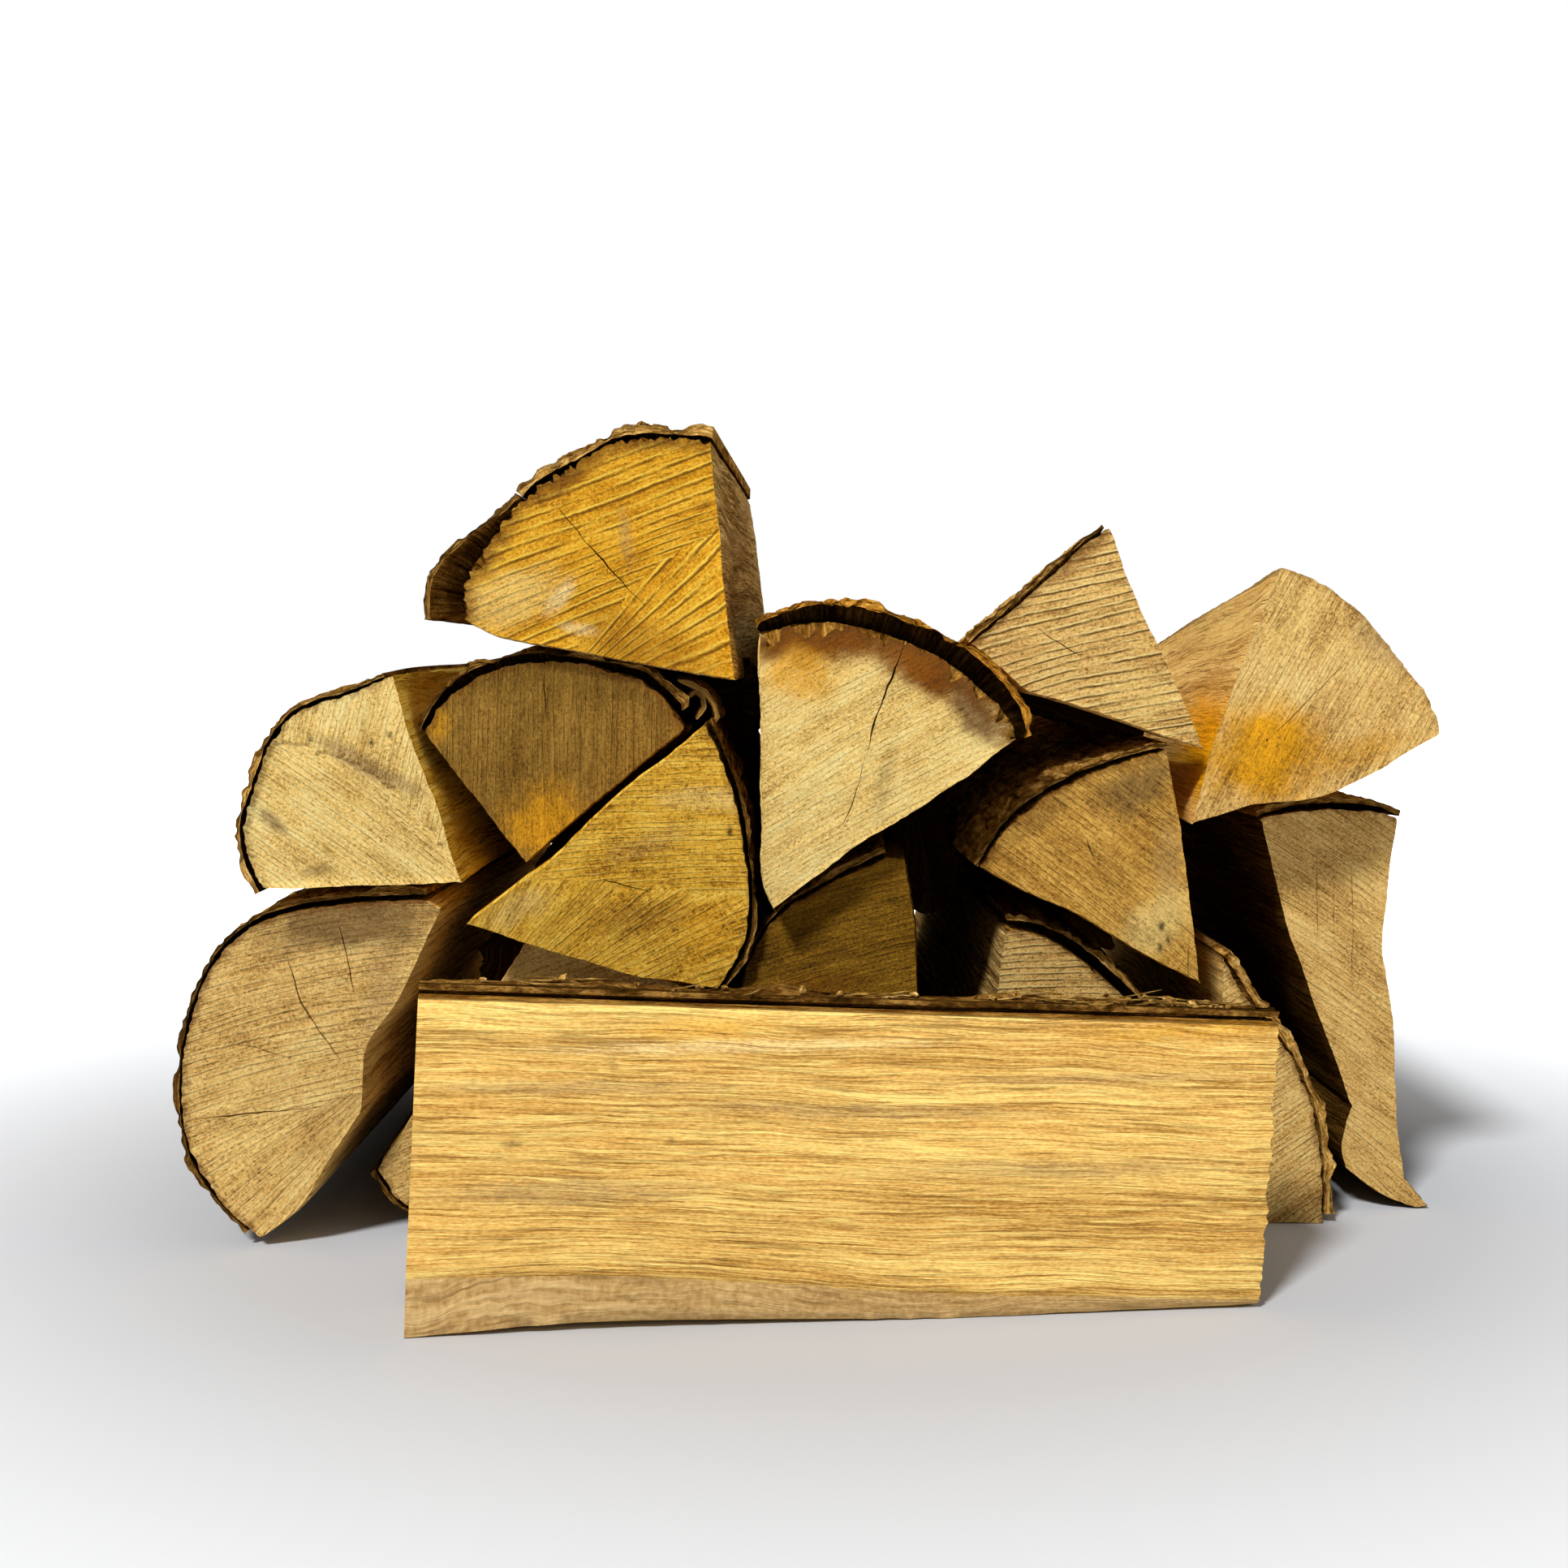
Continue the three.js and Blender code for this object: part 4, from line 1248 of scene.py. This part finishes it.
def add_crumb(shape, place, length, wide, angle, tilt, dice, seed):
    """One crumb or fibre, lying at a place."""
    along = np.array([math.cos(angle) * math.cos(tilt), math.sin(angle) * math.cos(tilt), math.sin(tilt)])
    aside = np.array([-math.sin(angle), math.cos(angle), 0.0])
    above = np.cross(along, aside)
    bend = dice.normal() * length * CRUMB["bend"]
    rows = []
    for ring in range(CRUMB_RINGS):
        way = ring / (CRUMB_RINGS - 1)
        bulge = math.sin(math.pi * min(max(way, CRUMB["end"]), 1 - CRUMB["end"]))
        swell = wide * (CRUMB["tip"] + (1 - CRUMB["tip"]) * bulge)
        middle = place + along * length * (way - 0.5) + aside * bend * math.sin(math.pi * way)
        middle = middle + np.array([0, 0, wide * CRUMB["lift"] + abs(math.sin(tilt)) * length / 2])
        ring_turn = np.arange(CRUMB_SIDES) / CRUMB_SIDES * 2 * math.pi
        uneven = dice.normal(size=CRUMB_SIDES).clip(-CRUMB["most"], CRUMB["most"])
        size = swell * (1 + CRUMB["rough"] * uneven)
        rows.append(middle + aside * (size * np.cos(ring_turn))[:, None]
                    + above * (size * np.sin(ring_turn) * CRUMB["flat"])[:, None])
    grid = np.array(rows)
    index = shape.add_points(grid.reshape(-1, 3))
    grain = np.stack([np.repeat(np.arange(CRUMB_RINGS) * length / CRUMB_RINGS, CRUMB_SIDES),
                      np.tile(np.arange(CRUMB_SIDES) * CRUMB["grain"], CRUMB_RINGS),
                      np.full(CRUMB_RINGS * CRUMB_SIDES, GRAIN_GAPS["crumb"] * seed)], axis=1)
    faces = grid_faces(CRUMB_RINGS, CRUMB_SIDES)[:, ::-1]
    none = np.zeros(len(grain))
    shape.add_faces(faces, index, OUTSIDE, grain, none)
    shape.add_faces(np.arange(CRUMB_SIDES)[None], index, OUTSIDE, grain, none)
    last = (CRUMB_RINGS - 1) * CRUMB_SIDES
    shape.add_faces(np.arange(last, last + CRUMB_SIDES)[None, ::-1], index, OUTSIDE, grain, none)


# How each billet looks. Zones, fans, stains and cracks are placed in pixels of the photograph. A stain is
# its tone, strength, centre, radii and turn in degrees; a few are painted shade and two are painted light,
# as noted beside them. A crack is half its width in millimetres, then its points. saw_turn is the saw
# marks' turn in degrees, and a zone is a part of the face with marks of its own.
# end_finish is how strong the torn rows are, how far apart the saw marks lie, the rim's rust and its
# width, the strength of the highlights painted on the crests, and how strong the saw marks are, with their
# painted lip highlights and cut shadows.

BILLETS = {
    "top_billet": dict(
        palette="gold", slot="golden_wood", saw_turn=20, ragged=8.0, split_palette="umber", relief=1.4,
        end_finish=(1.0, 4.4, 0.75, 6.0, 0.6, 0.8),
        zones=[dict(outline_px=[(700, 805), (765, 745), (800, 700), (885, 652), (915, 845), (780, 835)],
                    fan_px=(640, 900), fan_radius=70)],
        cracks_px=[(0.3, (680, 616), (722, 668), (762, 712), (801, 754))],
        stains_and_painted_light_px=[("straw", 0.6, (625, 735), (75, 42), 20), ("cream", 0.5, (690, 735), (34, 16), 50),
                   ("cream", 0.45, (712, 775), (9, 30), 80), ("amber", 0.4, (770, 680), (70, 30), 20),
                   ("rust", 0.5, (700, 590), (70, 14), 32), ("ash", 0.4, (770, 660), (10, 46), 10),
                   ("rust", 0.4, (800, 800), (110, 44), -20)],
        side_stains_px=[("ash", 0.7, (917, 625), (10, 24), 0), ("ash", 0.45, (908, 668), (16, 20), 0),
                        ("grey", 0.4, (900, 740), (16, 40), 0)],
    ),
    "upper_left_billet": dict(
        palette="straw", slot="pale_wood", saw_turn=76, split_palette="gold_lit_side", ragged=1.8, glow=0.4,
        end_finish=(0.8, 2.2, 0.5, 1.5, 0.6, 0.35),
        zones=[dict(outline_px=[(250, 860), (336, 912), (433, 936), (491, 975), (559, 1057), (580, 1150),
                                (250, 1150)], saw_turn=-35, set_in=1.6)],
        # The long ash band paints the shade along the edge of the raised step
        stains_and_painted_light_px=[("ash", 0.7, (455, 945), (100, 14), -28), ("umber", 0.6, (333, 1012), (30, 11), -40),
                   ("grey", 0.5, (390, 1075), (26, 10), 10), ("black", 0.9, (457, 916), (4, 4), 0),
                   ("black", 0.9, (479, 906), (4, 4), 0), ("black", 0.9, (382, 912), (5, 4), 0),
                   ("black", 0.8, (445, 931), (3, 3), 0)],
    ),
    "middle_billet": dict(
        palette="shade", slot="shaded_wood", saw_turn=89, ragged=1.8,
        end_finish=(0.9, 1.9, 0.6, 3.0, 0.25, 0.45),
        cracks_px=[(0.2, (672, 815), (670, 850), (673, 888))],
        # The amber ovals at the left tip and the bottom paint light where the sun reaches this shaded end,
        # and the olive band along its top paints the top billet's shadow
        stains_and_painted_light_px=[("amber", 0.45, (540, 895), (22, 26), 0), ("amber", 0.75, (665, 1012), (60, 52), 0),
                   ("olive_shade", 0.5, (690, 840), (150, 30), 0)],
    ),
    "heart_billet": dict(
        palette="honey", slot="golden_wood", saw_turn=4, end_finish=(1.0, 2.4, 0.4, 2.0, 0.7, 0.45),
        zones=[dict(outline_px=[(540, 1150), (640, 1085), (700, 1085), (800, 1090), (960, 1115), (960, 1260),
                                (540, 1260)], fan_px=(500, 1330), fan_radius=110)],
        cracks_px=[(0.25, (733, 1082), (770, 1092), (808, 1101))],
        stains_and_painted_light_px=[("straw", 0.6, (880, 985), (18, 85), 90), ("straw", 0.5, (640, 1120), (55, 22), 25),
                   ("rust", 0.35, (800, 1130), (90, 22), 10), ("amber", 0.5, (870, 1150), (50, 50), 0),
                   ("black", 0.8, (898, 1024), (4, 9), 0), ("black", 0.7, (830, 1145), (4, 4), 0),
                   ("ash", 0.3, (800, 1040), (70, 20), 20)],
    ),
    "lower_left_billet": dict(
        palette="tan", slot="pale_wood", saw_turn=14, bow=1.2, ragged=1.4, relief=1.2,
        end_finish=(0.9, 2.6, 0.7, 2.5, 0.6, 0.45),
        zones=[dict(outline_px=[(200, 1400), (380, 1372), (480, 1330), (520, 1560), (200, 1600)],
                    fan_px=(540, 1270), fan_radius=80)],
        cracks_px=[(0.3, (350, 1152), (357, 1195), (370, 1234), (398, 1278), (428, 1317)),
                   (0.28, (416, 1135), (428, 1180), (437, 1229)),
                   (0.2, (273, 1285), (312, 1291), (355, 1304)),
                   (0.34, (239, 1380), (310, 1372), (374, 1367), (394, 1358))],
        # The grey oval across the top paints the shadow that the billet above casts on this end
        stains_and_painted_light_px=[("grey", 0.9, (430, 1136), (130, 50), 8), ("rust", 0.45, (300, 1130), (60, 14), 25),
                   ("ash", 0.35, (470, 1230), (30, 80), 0), ("straw", 0.35, (310, 1400), (60, 70), 0)],
    ),
    "foot_left_billet": dict(palette="tan", slot="shaded_wood", saw_turn=20, end_step=1.8,
                             end_finish=(1.0, 2.4)),
    "centre_billet": dict(
        palette="straw", slot="pale_wood", saw_turn=28, ragged=9.0, relief=1.3,
        end_finish=(0.7, 2.4, 0.85, 6.0, 0.6, 0.25),
        cracks_px=[(0.42, (1117, 788), (1098, 838), (1080, 882), (1068, 930)),
                   (0.24, (1067, 932), (1054, 980), (1036, 1023))],
        stains_and_painted_light_px=[("rust", 1.0, (1010, 782), (130, 44), 0), ("amber", 0.7, (985, 830), (60, 40), 0),
                   ("rust", 1.0, (1150, 826), (84, 34), -38), ("umber", 0.9, (1200, 880), (58, 26), -55),
                   ("rust", 0.7, (1110, 800), (40, 50), 0), ("grey", 0.3, (1090, 960), (14, 60), -14),
                   ("ash", 0.5, (1195, 875), (26, 8), -55)],
    ),
    "foot_centre_billet": dict(
        # its end is painted olive as the shade of the centre billet above it, and its split side dark as
        # shadow
        palette="olive_shade", slot="shaded_wood", saw_turn=17, split_palette="shadow",
        end_finish=(0.9, 2.2, 0.4, 2.0, 0.2, 0.35),
        stains_and_painted_light_px=[("rust", 0.4, (1000, 1215), (80, 22), 10)],
    ),
    "upper_right_billet": dict(
        palette="tan", slot="pale_wood", saw_turn=13, end_finish=(1.0, 4.0, 0.6, 3.0, 0.6, 0.9), relief=1.3,
        cracks_px=[(0.16, (1270, 768), (1305, 792), (1340, 815))],
        stains_and_painted_light_px=[("straw", 0.4, (1400, 860), (60, 40), 20), ("rust", 0.5, (1330, 690), (60, 12), 40)],
    ),
    "right_billet": dict(
        palette="tan", slot="golden_wood", saw_turn=62, rind_palette="umber",
        end_finish=(0.8, 2.2, 0.4, 2.0, 0.5, 0.35),
        cracks_px=[(0.24, (1564, 911), (1600, 876), (1640, 835), (1672, 805))],
        stains_and_painted_light_px=[("amber", 1.0, (1556, 930), (86, 74), 0), ("amber", 0.5, (1670, 930), (80, 22), 20),
                   ("ash", 0.5, (1700, 790), (60, 30), -50), ("straw", 0.4, (1590, 760), (40, 50), 0)],
        side_stains_px=[("amber", 1.0, (1500, 930), (70, 90), 0), ("straw", 0.4, (1500, 780), (60, 50), 0)],
    ),
    "lower_right_billet": dict(
        palette="hazel", slot="golden_wood", saw_turn=-37, ragged=1.8,
        end_finish=(0.9, 2.4, 0.6, 3.0, 0.6, 0.4),
        cracks_px=[(0.2, (1338, 1034), (1349, 1058)), (0.24, (1465, 1165), (1464, 1207))],
        # The grey oval at the top paints the shadow of the billets above
        stains_and_painted_light_px=[("grey", 0.7, (1400, 970), (75, 36), 20), ("straw", 1.0, (1425, 1140), (48, 66), -50),
                   ("umber", 0.4, (1280, 1010), (70, 14), 35), ("ash", 0.45, (1440, 1060), (24, 60), 0),
                   ("black", 0.8, (1432, 1142), (5, 7), 0), ("black", 0.8, (1440, 1158), (4, 6), 0),
                   ("black", 0.8, (1430, 1168), (4, 8), 0)],
    ),
    "foot_right_billet": dict(palette="tan", slot="pale_wood", saw_turn=4, split_palette="umber",
                              end_finish=(1.1, 3.0, 0.6, 3.0, 0.5, 0.85)),
    "small_right_billet": dict(palette="tan", slot="pale_wood", saw_turn=35,
                               end_finish=(1.0, 2.2, 0.6, 3.0, 0.4, 0.5)),
    "outer_right_billet": dict(
        palette="tan", slot="pale_wood", saw_turn=-36, split_palette="shadow",
        end_finish=(0.9, 2.6, 0.5, 2.0, 0.5, 0.35),
        cracks_px=[(0.15, (1622, 1040), (1624, 1120), (1622, 1180)), (0.15, (1643, 1070), (1645, 1160)),
                   (0.15, (1666, 1050), (1667, 1150), (1665, 1230))],
        # The faint grey band at the top paints the shadow under the right billet
        stains_and_painted_light_px=[("grey", 0.15, (1640, 1010), (95, 26), 0)],
    ),
    "front_billet": dict(
        palette="tan", slot="golden_wood", front=(1, 0, 0), split_palette="front", ragged=0.5, torn=4.0,
        facet=2, facet_palette="facet", steps=FRONT_AROUND, length_steps=FRONT_ALONG,
        side_stains_px=[("ash", 0.5, (700, 1340), (240, 12), 0), ("ash", 0.5, (1050, 1368), (280, 12), -1),
                        ("ash", 0.5, (700, 1470), (220, 20), 2), ("ash", 0.45, (1300, 1440), (260, 14), 1),
                        ("ash", 0.4, (1350, 1330), (240, 8), 1), ("cream", 0.35, (900, 1290), (300, 10), 1),
                        ("grey", 0.6, (631, 1409), (16, 7), 0), ("grey", 0.4, (755, 1312), (5, 9), 0),
                        ("grey", 0.45, (828, 1406), (4, 7), 0), ("amber", 0.3, (860, 1268), (110, 14), 2),
                        ("amber", 0.35, (1450, 1272), (150, 12), 2)],
    ),
}

# How each bark strip looks, after the billet that it grew on: the palettes of its outside, inside and
# layered ends, how torn its end is, how far its lumps bulge, how far its inside has parted from the wood,
# and the depths behind its end over which that gap is shut
BARKS = {
    "top_bark_slab": ("top_billet", dict(torn=4.0, shut=(0, 60), inside="bark_inside")),
    "top_bark": ("top_billet", dict(torn=5.0, bulge=3.0, palette="bark_cut", layers="bark_lit")),
    "upper_left_bark": ("upper_left_billet", dict(palette="bark_cut", layers="bark_lit")),
    "middle_bark": ("middle_billet", dict(bulge=3.0, palette="bark_cut", parted=0.4)),
    "heart_bark": ("heart_billet", dict(bulge=2.0, parted=0.35)),
    "lower_left_bark": ("lower_left_billet", dict(palette="bark_cut", bulge=2.0)),
    "foot_left_bark": ("foot_left_billet", {}),
    "centre_bark": ("centre_billet", dict(palette="bark_orange", layers="bark_orange", torn=4.0, bulge=2.4,
                                          parted=0.45)),
    "foot_centre_bark": ("foot_centre_billet", {}),
    "upper_right_bark": ("upper_right_billet", dict(palette="bark_lit", layers="bark_cut", inside="bark_cut",
                                                    shut=(1, 8))),
    "lower_right_bark": ("lower_right_billet", dict(palette="bark_cut", layers="bark_cut", parted=0.15)),
    "foot_right_bark": ("foot_right_billet", dict(layers="bark_lit", torn=3.5)),
    "small_right_bark": ("small_right_billet", dict(palette="bark_lit", layers="bark_lit", inside="bark_cut",
                                                    shut=(1, 8))),
    "outer_right_bark": ("outer_right_billet", dict(palette="bark_cut", layers="bark_cut")),
    "front_bark": ("front_billet", dict(front=(1, 0, 0), length_steps=FRONT_ALONG, layers="bark",
                                        bulge=2.4)),
}

# Each scrap: the line of its end in pixels of the photograph, then how far it lies from the heap's
# front, its length and its thickness in millimetres
SCRAPS = {
    "bark_scrap_outer": ([(835, 838), (852, 843), (868, 852), (880, 868), (884, 884), (876, 892)],
                         136, 60, 2.6),
    "bark_scrap_inner": ([(846, 862), (856, 852), (866, 858), (868, 872), (858, 886)], 140, 50, 2.2),
    # The plugs below are dark lumps of bark set deep in gaps to paint the shade there
    "bark_shade_plug_upper": ([(846, 872), (890, 864), (938, 864)], 200, 70, 34),
    "bark_shade_plug_left": ([(660, 1070), (690, 1042), (735, 1000), (800, 938), (852, 892)], 150, 60, 7),
    "bark_shade_plug_low": ([(898, 1240), (906, 1214), (914, 1180), (928, 1130), (942, 1086)], 150, 60, 8),
    "bark_shade_plug_centre": ([(1122, 972), (1136, 1030), (1152, 1124)], 230, 60, 30),
    "bark_shade_plug_right": ([(1318, 1124), (1343, 1144), (1372, 1168)], 150, 60, 7),
    "bark_shade_plug_high": ([(1262, 862), (1300, 871), (1410, 902)], 200, 60, 10),
    "bark_shade_plug_foot": ([(621, 1154), (619, 1226)], 190, 60, 19),
}

for number, (node, look) in enumerate(BILLETS.items()):
    make_billet(number, node, look)
for number, (node, (billet, look)) in enumerate(BARKS.items()):
    make_bark(number, node, look, billet)
make_scraps()
make_crumbs()


# The stage: a pale floor that fades to white, soft light and the camera. Distances are metres here.

SUN = {"side": -27.0, "height": 44.0, "away": 3, "strength": 3.4, "angle": 9.0, "colour": (1.0, 0.99, 0.97)}
SKY = 0.32
SKY_COLOUR = (1.0, 0.97, 0.93, 1.0)
WHITE = (1.0, 1.0, 1.0, 1.0)
FLOOR_GLOW = 1.0
FLOOR_FADE = (0.3, 1.2)
# The floor's grey near the heap is painted shadow; it fades out between these distances in metres, from the
# near tone to the far one
FLOOR_SHADOW_FADE = (0.28, 0.7)
FLOOR_SHADOW_TONE = (0.54, 0.56, 0.6)
FLOOR_FAR = (0.78, 0.81, 0.84)
FLOOR_HALF = 12.0


def add_sun():
    """Soft sunlight from in front, above and a little to the left."""
    lamp = bpy.data.lights.new("sun", "SUN")
    lamp.energy = SUN["strength"]
    lamp.angle = math.radians(SUN["angle"])
    lamp.color = SUN["colour"]
    light = bpy.data.objects.new("sun", lamp)
    side, height = math.radians(SUN["side"]), math.radians(SUN["height"])
    toward = Vector((math.sin(side) * math.cos(height), -math.cos(side) * math.cos(height), math.sin(height)))
    light.rotation_euler = toward.to_track_quat("Z", "Y").to_euler()
    light.location = toward * SUN["away"]
    bpy.context.scene.collection.objects.link(light)


def add_floor():
    """A floor painted grey round the heap as its soft shadow, which grows lighter, and glows white, farther
    away.
    """
    mesh = bpy.data.meshes.new("floor")
    corners = [(-1, -1), (1, -1), (1, 1), (-1, 1)]
    mesh.from_pydata([(x * FLOOR_HALF, y * FLOOR_HALF, 0) for x, y in corners], [], [(0, 1, 2, 3)])
    floor = bpy.data.objects.new("floor", mesh)
    bpy.context.scene.collection.objects.link(floor)
    n = Nodes("floor")
    n.shader.inputs["Roughness"].default_value = 0.9
    n.shader.inputs["Emission Color"].default_value = WHITE
    place = n.add("NewGeometry").outputs["Position"]
    away = n.add("VectorMath", {0: place}, operation="LENGTH").outputs["Value"]
    n.link(n.math("MULTIPLY", n.spread(away, *FLOOR_FADE), FLOOR_GLOW), "Emission Strength")
    n.link(n.mix(n.spread(away, *FLOOR_SHADOW_FADE), FLOOR_SHADOW_TONE, FLOOR_FAR), "Base Color")
    mesh.materials.append(n.material)


def add_sky():
    """White behind the heap, and a weaker light of the same kind all round it."""
    world = bpy.data.worlds.new("studio")
    world.use_nodes = True
    tree = world.node_tree
    soft = tree.nodes["Background"]
    soft.inputs["Color"].default_value = SKY_COLOUR
    soft.inputs["Strength"].default_value = SKY
    white = tree.nodes.new("ShaderNodeBackground")
    white.inputs["Color"].default_value = WHITE
    path = tree.nodes.new("ShaderNodeLightPath")
    chosen = tree.nodes.new("ShaderNodeMixShader")
    tree.links.new(path.outputs["Is Camera Ray"], chosen.inputs[0])
    tree.links.new(soft.outputs[0], chosen.inputs[1])
    tree.links.new(white.outputs[0], chosen.inputs[2])
    tree.links.new(chosen.outputs[0], tree.nodes["World Output"].inputs["Surface"])
    bpy.context.scene.world = world


def add_camera():
    """The camera that took the photograph."""
    data = bpy.data.cameras.new("camera")
    data.sensor_width = SENSOR
    data.lens = SENSOR * FOCAL_PX / PHOTO_SIZE_PX
    camera = bpy.data.objects.new("camera", data)
    camera.location = camera_place * MM
    camera.rotation_euler = (math.pi / 2 - CAMERA_TILT, 0.0, 0.0)
    bpy.context.scene.collection.objects.link(camera)
    bpy.context.scene.camera = camera


add_sun()
add_floor()
add_sky()
add_camera()
bpy.context.scene.view_settings.view_transform = "Standard"
